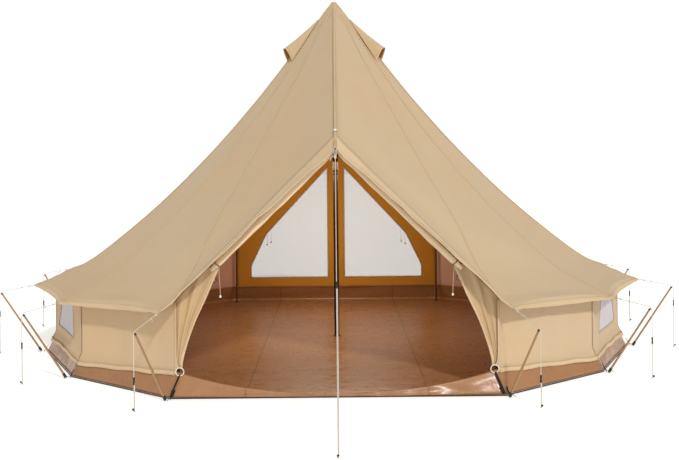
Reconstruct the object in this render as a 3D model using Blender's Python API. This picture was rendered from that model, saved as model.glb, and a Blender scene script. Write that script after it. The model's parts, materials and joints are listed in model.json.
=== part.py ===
"""Bell tent on poles, pitched: canvas roof, walls and doors, groundsheet, frame poles and guy lines.

Metres, +Z up. The origin is on the ground under the peak, and the open front door faces -Y.
Corners are numbered 1 to 6 from the front door to the back door, on the right (+X) and on the left.
"""
import math

import bmesh
import bpy
from mathutils import Vector
from mathutils.bvhtree import BVHTree

# Overall sizes
FLOOR_RADIUS = 2.50         # circle through the twelve corners of the groundsheet
PEAK_HEIGHT = 2.99          # top of the roof canvas
WALL_INSET = 0.080          # from that circle to the one through the corners of the canvas walls
DOOR_HALF_ANGLE = 27.0      # degrees in plan from the middle of a door to its corner
FLANK_SIDES = 5             # straight wall sides between the two doors, on each flank

# Groundsheet tray
TRAY_WALL = 0.170           # height of its upright wall
TRAY_LIP = 0.022            # height of the front doorway's lip at its middle
TRAY_THICKNESS = 0.003
LIP_SEGMENTS = 12
LIP_POWER = 2.2             # how sharply the lip rises towards the door corners
TRAY_FOOT_WALLS = 1.6       # width of the leaning wall at the floor, in its thicknesses at the top

# Roof canvas
CANVAS = 0.003
EAVE_HEIGHT = 0.625         # roof above the wall line, at the flank corners
DOOR_EAVE_HEIGHT = 0.670    # the same at the door corners
PEAK_RADIUS = 0.018         # small flat over the centre pole
TIP_REACH = 0.180           # eave tips beyond the wall corners
TIP_DROP = 0.065            # eave tips below the wall line, at the flank corners
DOOR_TIP_DROP = 0.070
HEM_SCALLOP = 0.045         # how far the eave is cut in between two tips
HEM_HEIGHT = 0.057          # hanging hem between two tips
HEM_DIP = 0.015             # its lower edge below the straight line between the two tips
HEM_START = 0.75            # share of the way from the wall line to the edge where the hem begins
DOOR_APEX_HEIGHT = 1.690    # hem over the middle of the doorway
HEM_BAND = 0.094            # door hem in front of the door's plane, along the ridge
PANEL_SEGMENTS = 4
DOOR_PANEL_SEGMENTS = 3
# Shares of the wall line's radius, and of the height from the wall line to the peak
FLANK_PROFILE = ((0.182, 0.768), (0.289, 0.630), (0.448, 0.445), (0.632, 0.260),
                 (0.808, 0.110), (0.895, 0.048), (1.0, 0.0))
DOOR_PROFILE = ((0.182, 0.807), (0.289, 0.693), (0.448, 0.534), (0.632, 0.352),
                (0.808, 0.187), (0.895, 0.082), (1.0, 0.0))

# Walls and doors
WALL_LAP = 0.020            # wall and door canvas laps down over the tray's wall
WALL_TOP_GAP = 0.007        # from the roof's outer face to the top of the wall
DOOR_TOP_GAP = 0.022        # the same for the doors, which swing under the roof's hem
DOOR_SPLIT = 0.008          # half of the zip gap between the two back door halves
DOOR_CORNER_GAP = 0.016     # from a door's outer edge to the wall corner
FLAP_THICKNESS = 0.024
FLAP_ROLL = 0.045           # depth of the rolled flap under the hem
FLAP_TIE = 0.766            # place of the tie along the hem, from its top
FLAP_FOOT_INSET = 0.072     # foot of the gathered flap, from the door corner
FLAP_FOOT_GAP = 0.048       # and above the tray's wall
FLAP_TOP = 0.030            # start of the flap beside the middle of the door
EDGE_SAMPLES = 12           # places where a slanted edge is measured against the roof

# Zip slider of the back door
SLIDER_WIDTH = 0.014
SLIDER_DEPTH = 0.005
SLIDER_HEIGHT = 0.030
SLIDER_STOP = 0.010         # its bottom stop, above the tray's wall
# Shares of its height and of its width there
SLIDER_SHAPE = ((0.0, 0.7), (0.2, 1.0), (0.6, 1.0), (1.0, 0.55))

# Vent hoods, one over each flank
HOOD_CORNER = 2             # the seam that each hood straddles, counted from 0 at the front door
HOOD_START = 0.140          # ridge start, from the centre
HOOD_MOUTH = 0.396          # feet of the mouth
HOOD_TIP = 0.450            # overhang of the ridge
HOOD_TIP_RISE = 0.140       # ridge end above the roof
HOOD_HALF_WIDTH = 0.105
HOOD_GAP = 0.002
HOOD_FIRST_ROW = 0.12       # share of the hood's length left open at its narrow end
HOOD_ROWS = 4
HOOD_COLUMNS = 6

# Centre pole
POLE_RADIUS = 0.022
POLE_TIP_RADIUS = 0.012
POLE_TIP_LENGTH = 0.055
POLE_JOINT = 1.450          # height where its two sections meet
POLE_TAPER = 0.012
FERRULE_WALL = 0.0025
FERRULE_LENGTH = 0.060
FERRULE_TAPER = 0.003
POLE_FOOT_RIM = 0.010       # foot beyond the pole
POLE_FOOT_EDGE = 0.004
POLE_FOOT_HEIGHT = 0.010
POLE_SIDES = 24

# Door A-frames
FRAME_INSET = 0.0875        # A-frame's plane inside the door corner's plane
FRAME_RADIUS = 0.011
FRAME_CLEARANCE = 0.012     # beyond a tube's width, from the roof canvas down to the tube's axis
FRAME_CORNER_OUTSET = 0.042 # upright of the leg beyond the seam, along X
ELBOW = 0.110               # length of each side of the elbow's bend
ELBOW_POINTS = 7
CONNECTOR_WALL = 0.002
CONNECTOR_ARM = 0.070
CONNECTOR_LAP = 0.010       # how far each arm passes the middle
SPIKE_RADIUS = 0.004
SPIKE_RISE = 0.040          # spike above the roof canvas
SPIKE_TAPER = 0.008
SPIKE_END = 0.4             # share of the spike's radius at its end
GROMMET_GAP = 0.002
GROMMET_CUT = 0.060         # half of the cutter's length

# Outrigger poles
OUTRIGGER_RADIUS = 0.008
OUTRIGGER_FOOT_REACH = 0.045    # beyond the floor corner
OUTRIGGER_TOP_REACH = 0.362
OUTRIGGER_HEIGHT = 0.505
BOOT_WALL = 0.003
BOOT_LENGTH = 0.045
BOOT_TAPER = 0.002
OUTRIGGER_PIN_RADIUS = 0.003
OUTRIGGER_PIN_LENGTH = 0.020
OUTRIGGER_TAPER = 0.010

# Guy lines and their runners
ROPE_RADIUS = 0.0025
GUY_TAB_GAP = 0.006         # start of a corner guy, beyond the eave tip
GUY_PEG_REACH = 0.375       # its peg, beyond the floor corner
GUY_CLEARANCE = 0.004       # between the rope and the top of the outrigger pole
GUY_END_HEIGHT = 0.004
GUY_BEND = 0.030            # length of each side of the bend at the pole top
GUY_BEND_POINTS = 7
DOOR_GUY_TAB = 0.020        # start of a door guy, out from the hem apex
DOOR_GUY_DROP = 0.015       # and below it
DOOR_GUY_PIECES = 6
DOOR_PEG_OUT = 1.419        # its peg, out from the door's plane
RUNNER_LENGTH = 0.050
RUNNER_HALF_WIDTH = 0.008
RUNNER_HALF_DEPTH = 0.0058
RUNNER_CLEARANCE = 0.0008   # between the rope and the runner's bore
RUNNER_SHOULDER = 0.8       # share of the half length where the runner starts to narrow
RUNNER_END_WIDTH = 0.75     # shares of its half width and half depth at its ends
RUNNER_END_DEPTH = 0.85
DOOR_RUNNER_HEIGHT = 0.850
# Heights of the runners' middles at corners 1 to 6
RUNNER_HEIGHTS_RIGHT = (0.190, 0.275, 0.370, 0.270, 0.240, 0.210)
RUNNER_HEIGHTS_LEFT = (0.200, 0.280, 0.330, 0.230, 0.250, 0.205)

FIT_GAP = 0.0003
SIDES = 12
SMOOTH_BELOW = 40.0         # degrees between faces that are shaded as one surface
SIDE_NAMES = {1: "right", -1: "left"}
DOOR_NAMES = {-1: "front", 1: "back"}

# Sizes that follow from those above
CORNER_STEP = (180.0 - 2.0 * DOOR_HALF_ANGLE) / FLANK_SIDES
WALL_RADIUS = FLOOR_RADIUS - WALL_INSET
DOOR_CORNER_X = WALL_RADIUS * math.sin(math.radians(DOOR_HALF_ANGLE))
DOOR_PLANE = WALL_RADIUS * math.cos(math.radians(DOOR_HALF_ANGLE))
FLANK_APOTHEM = WALL_RADIUS * math.cos(math.radians(CORNER_STEP / 2.0))
DOOR_APEX_REACH = DOOR_PLANE + HEM_BAND
DOOR_PEG_REACH = DOOR_PLANE + DOOR_PEG_OUT
FLOOR_TOP = TRAY_THICKNESS + FIT_GAP
CANVAS_FOOT = TRAY_WALL - WALL_LAP
FERRULE_RADIUS = POLE_RADIUS + FERRULE_WALL
POLE_FOOT_RADIUS = POLE_RADIUS + POLE_FOOT_RIM
FRAME_DROP = 2.0 * FRAME_RADIUS + FRAME_CLEARANCE
CONNECTOR_RADIUS = FRAME_RADIUS + CONNECTOR_WALL
BOOT_RADIUS = OUTRIGGER_RADIUS + BOOT_WALL

# Colours, roughness and metallic value of each material
MATERIALS = {
    "canvas": ((0.70, 0.53, 0.33, 1.0), 0.90, 0.0),
    "groundsheet_vinyl": ((0.36, 0.17, 0.07, 1.0), 0.30, 0.0),
    "brown_pole": ((0.06, 0.025, 0.012, 1.0), 0.40, 0.0),
    "tan_pole": ((0.52, 0.34, 0.15, 1.0), 0.40, 0.0),
    "steel": ((0.42, 0.42, 0.43, 1.0), 0.32, 0.9),
    "guy_rope": ((0.80, 0.77, 0.70, 1.0), 0.85, 0.0),
    "black_plastic": ((0.012, 0.012, 0.012, 1.0), 0.45, 0.0),
    "white_plastic": ((0.82, 0.80, 0.76, 1.0), 0.45, 0.0),
}


def clear_scene():
    for item in list(bpy.data.objects):
        bpy.data.objects.remove(item, do_unlink=True)


def make_material(name, slot):
    color, roughness, metallic = MATERIALS[slot]
    material = bpy.data.materials.new(name)
    material.use_nodes = True
    shader = material.node_tree.nodes["Principled BSDF"]
    shader.inputs["Base Color"].default_value = color
    shader.inputs["Roughness"].default_value = roughness
    shader.inputs["Metallic"].default_value = metallic
    material.diffuse_color = color
    return material


def place(name, data, slot, origin=(0.0, 0.0, 0.0)):
    """Link an object whose data is written around its origin."""
    item = bpy.data.objects.new(name, data)
    item.location = origin
    data.materials.append(make_material(name, slot))
    bpy.context.scene.collection.objects.link(item)
    return item


def mesh_from(name, points, faces, closed=True):
    """Mesh from points and faces; a closed one gets its normals turned outwards."""
    mesh = bpy.data.meshes.new(name)
    mesh.from_pydata([tuple(point) for point in points], [], faces)
    if closed:
        body = bmesh.new()
        body.from_mesh(mesh)
        bmesh.ops.recalc_face_normals(body, faces=body.faces)
        body.to_mesh(mesh)
        body.free()
    mesh.update()
    return mesh


def loft(name, rings, capped=True):
    """Closed mesh through rings of equal point counts, capped or joined end to end."""
    count = len(rings[0])
    points = [point for ring in rings for point in ring]
    faces = []
    last = len(rings) - 1 if capped else len(rings)
    for row in range(last):
        here = row * count
        there = ((row + 1) % len(rings)) * count
        for index in range(count):
            following = (index + 1) % count
            faces.append((here + index, here + following, there + following, there + index))
    if capped:
        faces.append(tuple(range(count)))
        faces.append(tuple(range((len(rings) - 1) * count, len(rings) * count)))
    return mesh_from(name, points, faces)


def turned(name, profile, start, direction, slot, sides=SIDES):
    """Turned solid: profile gives (distance along the axis, radius) from start along direction."""
    turn = Vector(direction).to_track_quat("Z", "Y")
    rings = []
    for distance, radius in profile:
        ring = []
        for index in range(sides):
            angle = 2.0 * math.pi * index / sides
            local = Vector((radius * math.cos(angle), radius * math.sin(angle), distance))
            ring.append(turn @ local)
        rings.append(ring)
    item = place(name, loft(name, rings), slot, start)
    item.data.shade_smooth()
    item.data.set_sharp_from_angle(angle=math.radians(SMOOTH_BELOW))
    return item


def tube(name, points, radius, slot, resolution=2):
    """Round tube with closed ends through points, as a bevelled curve."""
    curve = bpy.data.curves.new(name, "CURVE")
    curve.dimensions = "3D"
    curve.bevel_depth = radius
    curve.bevel_resolution = resolution
    curve.use_fill_caps = True
    spline = curve.splines.new("POLY")
    spline.points.add(len(points) - 1)
    for place_on_spline, point in zip(spline.points, points):
        place_on_spline.co = (point[0], point[1], point[2], 1.0)
    return place(name, curve, slot)


def rounded_path(start, corner, end, reach, count):
    """Points from start to end with the corner rounded over reach on both sides."""
    entry = corner + (start - corner).normalized() * reach
    leave = corner + (end - corner).normalized() * reach
    points = [start]
    for index in range(count):
        share = index / (count - 1)
        first = entry.lerp(corner, share)
        second = corner.lerp(leave, share)
        points.append(first.lerp(second, share))
    points.append(end)
    return points


def plan_direction(corner, side):
    """Unit vector in plan towards a corner, counted from 0 at the front door to 5 at the back."""
    angle = math.radians(DOOR_HALF_ANGLE + CORNER_STEP * corner)
    return Vector((side * math.sin(angle), -math.cos(angle), 0.0))


def corner_point(corner, side, radius, height):
    return plan_direction(corner, side) * radius + Vector((0.0, 0.0, height))


def is_door_corner(corner):
    return corner in (0, FLANK_SIDES)


# ---- Roof canvas -------------------------------------------------------------------------------

def seam_column(corner, side):
    """Roof points down the seam of one corner, from the peak to the eave tip."""
    door = is_door_corner(corner)
    eave = DOOR_EAVE_HEIGHT if door else EAVE_HEIGHT
    profile = DOOR_PROFILE if door else FLANK_PROFILE
    points = [corner_point(corner, side, PEAK_RADIUS, PEAK_HEIGHT)]
    for share, rise in profile:
        height = eave + (PEAK_HEIGHT - eave) * rise
        points.append(corner_point(corner, side, share * WALL_RADIUS, height))
    drop = DOOR_TIP_DROP if door else TIP_DROP
    for share in (HEM_START, 1.0):
        radius = WALL_RADIUS + TIP_REACH * share
        points.append(corner_point(corner, side, radius, eave - drop * share))
    return points


def ridge_height(distance):
    """Height of the straight door ridge at a distance from the centre."""
    share = (distance - PEAK_RADIUS) / (DOOR_APEX_REACH - PEAK_RADIUS)
    return PEAK_HEIGHT + (DOOR_APEX_HEIGHT - PEAK_HEIGHT) * share


def ridge_column(door):
    """Roof points down the ridge over a door; door is -1 at the front and 1 at the back."""
    distances = [PEAK_RADIUS]
    distances += [share * DOOR_PLANE for share, _ in DOOR_PROFILE]
    distances += [DOOR_PLANE + HEM_BAND * HEM_START, DOOR_APEX_REACH]
    return [Vector((0.0, door * distance, ridge_height(distance))) for distance in distances]


def between(first, second, segments, scalloped):
    """Roof columns from first up to, but not including, second."""
    columns = []
    for step in range(segments):
        share = step / segments
        column = [a.lerp(b, share) for a, b in zip(first, second)]
        bow = 4.0 * share * (1.0 - share) if scalloped else 0.0
        inward = -(first[-1] + second[-1])
        inward.z = 0.0
        inward.normalize()
        fold_rise = HEM_HEIGHT - (1.0 - HEM_START) * TIP_DROP - HEM_DIP
        column[-2] = column[-2] + bow * (inward * HEM_SCALLOP + Vector((0.0, 0.0, fold_rise)))
        column[-1] = column[-1] + bow * (inward * HEM_SCALLOP - Vector((0.0, 0.0, HEM_DIP)))
        columns.append(column)
    return columns


def roof_columns():
    """All roof columns, counter-clockwise in plan from the front ridge."""
    rim = [ridge_column(-1)]
    rim += [seam_column(corner, 1) for corner in range(FLANK_SIDES + 1)]
    rim += [ridge_column(1)]
    rim += [seam_column(corner, -1) for corner in reversed(range(FLANK_SIDES + 1))]
    columns = []
    for index, column in enumerate(rim):
        following = rim[(index + 1) % len(rim)]
        over_door = index in (0, FLANK_SIDES + 1, FLANK_SIDES + 2, 2 * FLANK_SIDES + 3)
        segments = DOOR_PANEL_SEGMENTS if over_door else PANEL_SEGMENTS
        columns += between(column, following, segments, not over_door)
    return columns


def roof_sheet():
    """Points and faces of the roof's outer surface."""
    columns = roof_columns()
    rows = len(columns[0])
    points = [point for column in columns for point in column]
    faces = [tuple(index * rows for index in range(len(columns)))]
    for index in range(len(columns)):
        here = index * rows
        there = ((index + 1) % len(columns)) * rows
        for row in range(rows - 1):
            faces.append((here + row, here + row + 1, there + row + 1, there + row))
    return points, faces


def roof_surface():
    """Height of the roof's outer surface as a function of x and y."""
    points, faces = roof_sheet()
    tree = BVHTree.FromPolygons(points, faces)

    def height(x, y):
        hit = tree.ray_cast(Vector((x, y, 2.0 * PEAK_HEIGHT)), Vector((0.0, 0.0, -1.0)))
        return hit[0].z

    return height


def make_roof(grommets):
    """Roof canopy, with a round hole for each door frame's spike."""
    points, faces = roof_sheet()
    roof = place("roof_canopy", mesh_from("roof_canopy", points, faces, closed=False), "canvas")
    shell = roof.modifiers.new("canvas", "SOLIDIFY")
    shell.thickness = CANVAS
    shell.offset = -1.0
    for x, y, z in grommets:
        name = "grommet_cutter_" + DOOR_NAMES[-1 if y < 0 else 1]
        radius = SPIKE_RADIUS + GROMMET_GAP
        profile = ((-GROMMET_CUT, radius), (GROMMET_CUT, radius))
        cutter = turned(name, profile, (x, y, z), (0.0, 0.0, 1.0), "black_plastic")
        cutter.hide_render = True
        cutter.display_type = "WIRE"
        cut = roof.modifiers.new(name, "BOOLEAN")
        cut.operation = "DIFFERENCE"
        cut.object = cutter


def make_hood(side, roof_height):
    """Vent hood: an arched flap that stands off the roof over a seam and opens outwards and down."""
    outward = plan_direction(HOOD_CORNER, side)
    across = Vector((-outward.y, outward.x, 0.0))

    def over_roof(reach, offset, rise):
        point = outward * reach + across * offset
        point.z = roof_height(point.x, point.y) + rise
        return point

    start = over_roof(HOOD_START, 0.0, HOOD_GAP)
    first_foot = over_roof(HOOD_MOUTH, -HOOD_HALF_WIDTH, HOOD_GAP)
    second_foot = over_roof(HOOD_MOUTH, HOOD_HALF_WIDTH, HOOD_GAP)
    tip = over_roof(HOOD_TIP, 0.0, HOOD_TIP_RISE)
    points = []
    for row in range(HOOD_ROWS + 1):
        share = HOOD_FIRST_ROW + (1.0 - HOOD_FIRST_ROW) * row / HOOD_ROWS
        near = start.lerp(first_foot, share)
        far = start.lerp(second_foot, share)
        top = start.lerp(tip, share)
        crown = 2.0 * top - 0.5 * (near + far)
        for column in range(HOOD_COLUMNS + 1):
            step = column / HOOD_COLUMNS
            points.append(near.lerp(crown, step).lerp(crown.lerp(far, step), step))
    faces = []
    width = HOOD_COLUMNS + 1
    for row in range(HOOD_ROWS):
        for column in range(HOOD_COLUMNS):
            corner = row * width + column
            faces.append((corner, corner + width, corner + width + 1, corner + 1))
    name = "vent_hood_" + SIDE_NAMES[side]
    hood = place(name, mesh_from(name, points, faces, closed=False), "canvas")
    shell = hood.modifiers.new("canvas", "SOLIDIFY")
    shell.thickness = CANVAS
    shell.offset = 1.0


# ---- Groundsheet, walls and doors --------------------------------------------------------------

def make_groundsheet():
    """Tray with a wall that leans in to the canvas, and a front lip that droops in the open doorway."""
    rim = []
    first = corner_point(0, -1, FLOOR_RADIUS, 0.0)
    last = corner_point(0, 1, FLOOR_RADIUS, 0.0)
    for index in range(LIP_SEGMENTS):
        share = index / LIP_SEGMENTS
        rise = abs(2.0 * share - 1.0) ** LIP_POWER
        rim.append((first.lerp(last, share), TRAY_LIP + (TRAY_WALL - TRAY_LIP) * rise))
    for side, corners in ((1, range(FLANK_SIDES + 1)), (-1, range(FLANK_SIDES, 0, -1))):
        for corner in corners:
            rim.append((corner_point(corner, side, FLOOR_RADIUS, 0.0), TRAY_WALL))
    wall = TRAY_THICKNESS / DOOR_PLANE
    rings = [[], [], [], [], [], []]
    for point, height in rim:
        lean = 1.0 - (1.0 - WALL_RADIUS / FLOOR_RADIUS) * height / TRAY_WALL
        knee = Vector((0.0, 0.0, height * CANVAS_FOOT / TRAY_WALL))
        top = Vector((0.0, 0.0, height))
        rings[0].append(point)
        rings[1].append(point * lean + knee)
        rings[2].append(point * lean + top)
        rings[3].append(point * (lean - wall) + top)
        rings[4].append(point * (lean - wall) + knee)
        rings[5].append(point * (1.0 - TRAY_FOOT_WALLS * wall) + Vector((0.0, 0.0, TRAY_THICKNESS)))
    place("groundsheet", loft("groundsheet", rings), "groundsheet_vinyl")


def make_wall(side):
    """Canvas wall of one flank, from the front door corner to the back door corner."""
    near = 1.0 + FIT_GAP / FLANK_APOTHEM
    far = 1.0 + (FIT_GAP + CANVAS) / FLANK_APOTHEM
    rings = []
    for corner in range(FLANK_SIDES + 1):
        eave = DOOR_EAVE_HEIGHT if is_door_corner(corner) else EAVE_HEIGHT
        top = eave - WALL_TOP_GAP
        ring = []
        for scale, height in ((near, CANVAS_FOOT), (far, CANVAS_FOOT), (far, top), (near, top)):
            ring.append(corner_point(corner, side, WALL_RADIUS * scale, height))
        rings.append(ring)
    name = "wall_" + SIDE_NAMES[side]
    place(name, loft(name, rings), "canvas")


def door_edge_line(roof_height, plane):
    """Slope and start of the straight line that a door's top edge follows under the roof."""
    outer = DOOR_CORNER_X - DOOR_CORNER_GAP
    samples = [outer * index / EDGE_SAMPLES for index in range(EDGE_SAMPLES + 1)]
    heights = [roof_height(x, plane) - DOOR_TOP_GAP for x in samples]
    slope = (heights[-1] - heights[0]) / outer
    start = min(height - slope * x for x, height in zip(samples, heights))
    return start, slope


def panel(name, side, outline, plane, thickness, pivot):
    """Flat panel parallel to the XZ plane, written around its pivot."""
    rings = []
    for depth in (plane - thickness / 2.0, plane + thickness / 2.0):
        rings.append([Vector((side * x, depth, z)) - pivot for x, z in outline])
    return place(name, loft(name, rings), "canvas", pivot)


def make_back_door(side, roof_height):
    """Back door half, closed, hinged on its slanted top edge."""
    plane = DOOR_PLANE + FIT_GAP + CANVAS / 2.0
    start, slope = door_edge_line(roof_height, plane)
    outer = DOOR_CORNER_X - DOOR_CORNER_GAP
    outline = [
        (DOOR_SPLIT, CANVAS_FOOT),
        (outer, CANVAS_FOOT),
        (outer, start + slope * outer),
        (DOOR_SPLIT, start + slope * DOOR_SPLIT),
    ]
    pivot = Vector((0.0, plane, start))
    panel("back_door_" + SIDE_NAMES[side], side, outline, plane, CANVAS, pivot)


def make_front_flap(side, roof_height):
    """Front door flap, rolled up under the hem and tied, with its lower part gathered to the corner."""
    plane = -(DOOR_PLANE - TRAY_THICKNESS - FIT_GAP - FLAP_THICKNESS / 2.0)
    start, slope = door_edge_line(roof_height, plane)
    outer = DOOR_CORNER_X - DOOR_CORNER_GAP
    length = math.hypot(1.0, slope)
    inward = Vector((slope, -1.0)) / length
    tie_x = FLAP_TIE * outer
    tie = Vector((tie_x, start + slope * tie_x)) + inward * FLAP_ROLL
    top = Vector((FLAP_TOP, start + slope * FLAP_TOP))
    top_inner = Vector((FLAP_TOP, top.y - FLAP_ROLL * length))
    foot_height = TRAY_WALL + FLAP_FOOT_GAP
    outline = [
        tuple(top),
        tuple(top_inner),
        tuple(tie),
        (DOOR_CORNER_X - FLAP_FOOT_INSET, foot_height),
        (outer, foot_height),
        (outer, start + slope * outer),
    ]
    pivot = Vector((0.0, plane, start))
    panel("front_flap_" + SIDE_NAMES[side], side, outline, plane, FLAP_THICKNESS, pivot)


def make_zip_slider():
    """Slider on the inside of the back door's zip, at its bottom stop."""
    foot = TRAY_WALL + SLIDER_STOP
    middle = DOOR_PLANE - SLIDER_DEPTH / 2.0 - FIT_GAP
    rings = []
    for height, narrow in SLIDER_SHAPE:
        half_width = SLIDER_WIDTH / 2.0 * narrow
        half_depth = SLIDER_DEPTH / 2.0
        rise = SLIDER_HEIGHT * height
        rings.append([
            Vector((-half_width, -half_depth, rise)),
            Vector((half_width, -half_depth, rise)),
            Vector((half_width, half_depth, rise)),
            Vector((-half_width, half_depth, rise)),
        ])
    place("back_door_zip_slider", loft("back_door_zip_slider", rings), "white_plastic", (0.0, middle, foot))


# ---- Poles -------------------------------------------------------------------------------------

def make_centre_pole():
    """Two-part centre pole with a foot and a ferrule where its sections meet."""
    up = (0.0, 0.0, 1.0)
    foot_profile = (
        (0.0, POLE_FOOT_RADIUS),
        (POLE_FOOT_EDGE, POLE_FOOT_RADIUS),
        (POLE_FOOT_HEIGHT, POLE_RADIUS),
    )
    turned("centre_pole_foot", foot_profile, (0.0, 0.0, FLOOR_TOP), up, "black_plastic", POLE_SIDES)
    base = FLOOR_TOP + POLE_FOOT_HEIGHT + FIT_GAP
    lower_profile = ((0.0, POLE_RADIUS), (POLE_JOINT - base - FIT_GAP, POLE_RADIUS))
    turned("centre_pole_lower", lower_profile, (0.0, 0.0, base), up, "brown_pole", POLE_SIDES)
    length = PEAK_HEIGHT - CANVAS - 2.0 * FIT_GAP - POLE_JOINT
    upper_profile = (
        (0.0, FERRULE_RADIUS),
        (FERRULE_LENGTH, FERRULE_RADIUS),
        (FERRULE_LENGTH + FERRULE_TAPER, POLE_RADIUS),
        (length - POLE_TIP_LENGTH - POLE_TAPER, POLE_RADIUS),
        (length - POLE_TIP_LENGTH, POLE_TIP_RADIUS),
        (length, POLE_TIP_RADIUS),
    )
    turned("centre_pole_upper", upper_profile, (0.0, 0.0, POLE_JOINT), up, "brown_pole", POLE_SIDES)


def frame_line(roof_height):
    """Top of an A-frame's slanted line, its slope, and the place of the upright, all in the frame's plane."""
    plane = DOOR_PLANE - FRAME_INSET
    seam_x = plane * math.tan(math.radians(DOOR_HALF_ANGLE))
    upright_x = seam_x + FRAME_CORNER_OUTSET
    samples = [upright_x * index / EDGE_SAMPLES for index in range(EDGE_SAMPLES + 1)]
    heights = [roof_height(x, plane) - FRAME_DROP for x in samples]
    slope = (heights[-1] - heights[0]) / upright_x
    start = min(height - slope * x for x, height in zip(samples, heights))
    return plane, start, slope, upright_x


def make_frame_legs(door, roof_height):
    """Two bent legs of a door's A-frame, standing inside the tray."""
    plane, start, slope, upright_x = frame_line(roof_height)
    unit = Vector((1.0, 0.0, slope)).normalized()
    top = Vector((0.0, 0.0, start)) + unit * (CONNECTOR_ARM + FIT_GAP)
    for side in (1, -1):
        path = rounded_path(
            Vector((side * upright_x, door * plane, FLOOR_TOP)),
            Vector((side * upright_x, door * plane, start + slope * upright_x)),
            Vector((side * top.x, door * plane, top.z)),
            ELBOW,
            ELBOW_POINTS,
        )
        name = DOOR_NAMES[door] + "_frame_leg_" + SIDE_NAMES[side]
        tube(name, path, FRAME_RADIUS, "brown_pole")


def make_frame_connector(door, roof_height):
    """Top connector of an A-frame: two arms and a spike that passes through the roof's grommet."""
    plane, start, slope, _ = frame_line(roof_height)
    centre = Vector((0.0, door * plane, start))
    name = DOOR_NAMES[door] + "_frame_connector"
    spike_length = roof_height(0.0, door * plane) + SPIKE_RISE - start
    spike_profile = (
        (0.0, SPIKE_RADIUS),
        (spike_length - SPIKE_TAPER, SPIKE_RADIUS),
        (spike_length, SPIKE_RADIUS * SPIKE_END),
    )
    spike = turned(name, spike_profile, centre, (0.0, 0.0, 1.0), "steel")
    arm_profile = ((-CONNECTOR_LAP, CONNECTOR_RADIUS), (CONNECTOR_ARM, CONNECTOR_RADIUS))
    for side in (1, -1):
        arm_name = name + "_arm_" + SIDE_NAMES[side]
        arm = turned(arm_name, arm_profile, centre, (side, 0.0, slope), "steel")
        arm.hide_render = True
        arm.display_type = "WIRE"
        join = spike.modifiers.new("arm_" + SIDE_NAMES[side], "BOOLEAN")
        join.operation = "UNION"
        join.object = arm


def make_outrigger(corner, side):
    """Leaning pole that spreads a corner guy line: boot, tube and pin in one turned body."""
    foot = corner_point(corner, side, FLOOR_RADIUS + OUTRIGGER_FOOT_REACH, 0.0)
    top = corner_point(corner, side, FLOOR_RADIUS + OUTRIGGER_TOP_REACH, OUTRIGGER_HEIGHT)
    axis = (top - foot).normalized()
    foot.z += BOOT_RADIUS * math.sqrt(1.0 - axis.z ** 2)
    length = (top - foot).length
    profile = (
        (0.0, BOOT_RADIUS),
        (BOOT_LENGTH, BOOT_RADIUS),
        (BOOT_LENGTH + BOOT_TAPER, OUTRIGGER_RADIUS),
        (length - OUTRIGGER_PIN_LENGTH - OUTRIGGER_TAPER, OUTRIGGER_RADIUS),
        (length - OUTRIGGER_PIN_LENGTH, OUTRIGGER_PIN_RADIUS),
        (length, OUTRIGGER_PIN_RADIUS),
    )
    name = "outrigger_pole_%s_%d" % (SIDE_NAMES[side], corner + 1)
    turned(name, profile, foot, top - foot, "tan_pole")


# ---- Guy lines and runners ---------------------------------------------------------------------

def corner_guy_path(corner, side):
    """Guy line from the eave tip over the outrigger pole and straight down to its peg."""
    door = is_door_corner(corner)
    eave = DOOR_EAVE_HEIGHT if door else EAVE_HEIGHT
    drop = DOOR_TIP_DROP if door else TIP_DROP
    start = corner_point(corner, side, WALL_RADIUS + TIP_REACH + GUY_TAB_GAP, eave - drop)
    bend_height = OUTRIGGER_HEIGHT + OUTRIGGER_PIN_RADIUS + ROPE_RADIUS + GUY_CLEARANCE
    bend = corner_point(corner, side, FLOOR_RADIUS + GUY_PEG_REACH, bend_height)
    end = corner_point(corner, side, FLOOR_RADIUS + GUY_PEG_REACH, GUY_END_HEIGHT)
    return rounded_path(start, bend, end, GUY_BEND, GUY_BEND_POINTS)


def door_guy_ends(door):
    """Upper and lower end of the straight guy line in front of, or behind, a door."""
    upper = Vector((0.0, door * (DOOR_APEX_REACH + DOOR_GUY_TAB), DOOR_APEX_HEIGHT - DOOR_GUY_DROP))
    lower = Vector((0.0, door * DOOR_PEG_REACH, GUY_END_HEIGHT))
    return upper, lower


def runner_mesh(name, direction):
    """Runner: a flattened barrel with a bore along direction, written around its middle."""
    turn = Vector(direction).to_track_quat("Z", "Y")
    bore = ROPE_RADIUS + RUNNER_CLEARANCE
    half = RUNNER_LENGTH / 2.0
    shoulder = half * RUNNER_SHOULDER
    end_width = RUNNER_HALF_WIDTH * RUNNER_END_WIDTH
    end_depth = RUNNER_HALF_DEPTH * RUNNER_END_DEPTH
    sections = (
        (-half, bore, bore),
        (-half, end_width, end_depth),
        (-shoulder, RUNNER_HALF_WIDTH, RUNNER_HALF_DEPTH),
        (shoulder, RUNNER_HALF_WIDTH, RUNNER_HALF_DEPTH),
        (half, end_width, end_depth),
        (half, bore, bore),
    )
    rings = []
    for distance, width, depth in sections:
        ring = []
        for index in range(SIDES):
            angle = 2.0 * math.pi * index / SIDES
            ring.append(turn @ Vector((width * math.cos(angle), depth * math.sin(angle), distance)))
        rings.append(ring)
    return loft(name, rings, capped=False)


def make_corner_guys():
    for side, heights in ((1, RUNNER_HEIGHTS_RIGHT), (-1, RUNNER_HEIGHTS_LEFT)):
        for corner in range(FLANK_SIDES + 1):
            label = "%s_%d" % (SIDE_NAMES[side], corner + 1)
            tube("guy_line_" + label, corner_guy_path(corner, side), ROPE_RADIUS, "guy_rope")
            middle = corner_point(corner, side, FLOOR_RADIUS + GUY_PEG_REACH, heights[corner])
            name = "guy_runner_" + label
            place(name, runner_mesh(name, (0.0, 0.0, 1.0)), "black_plastic", middle)


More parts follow.
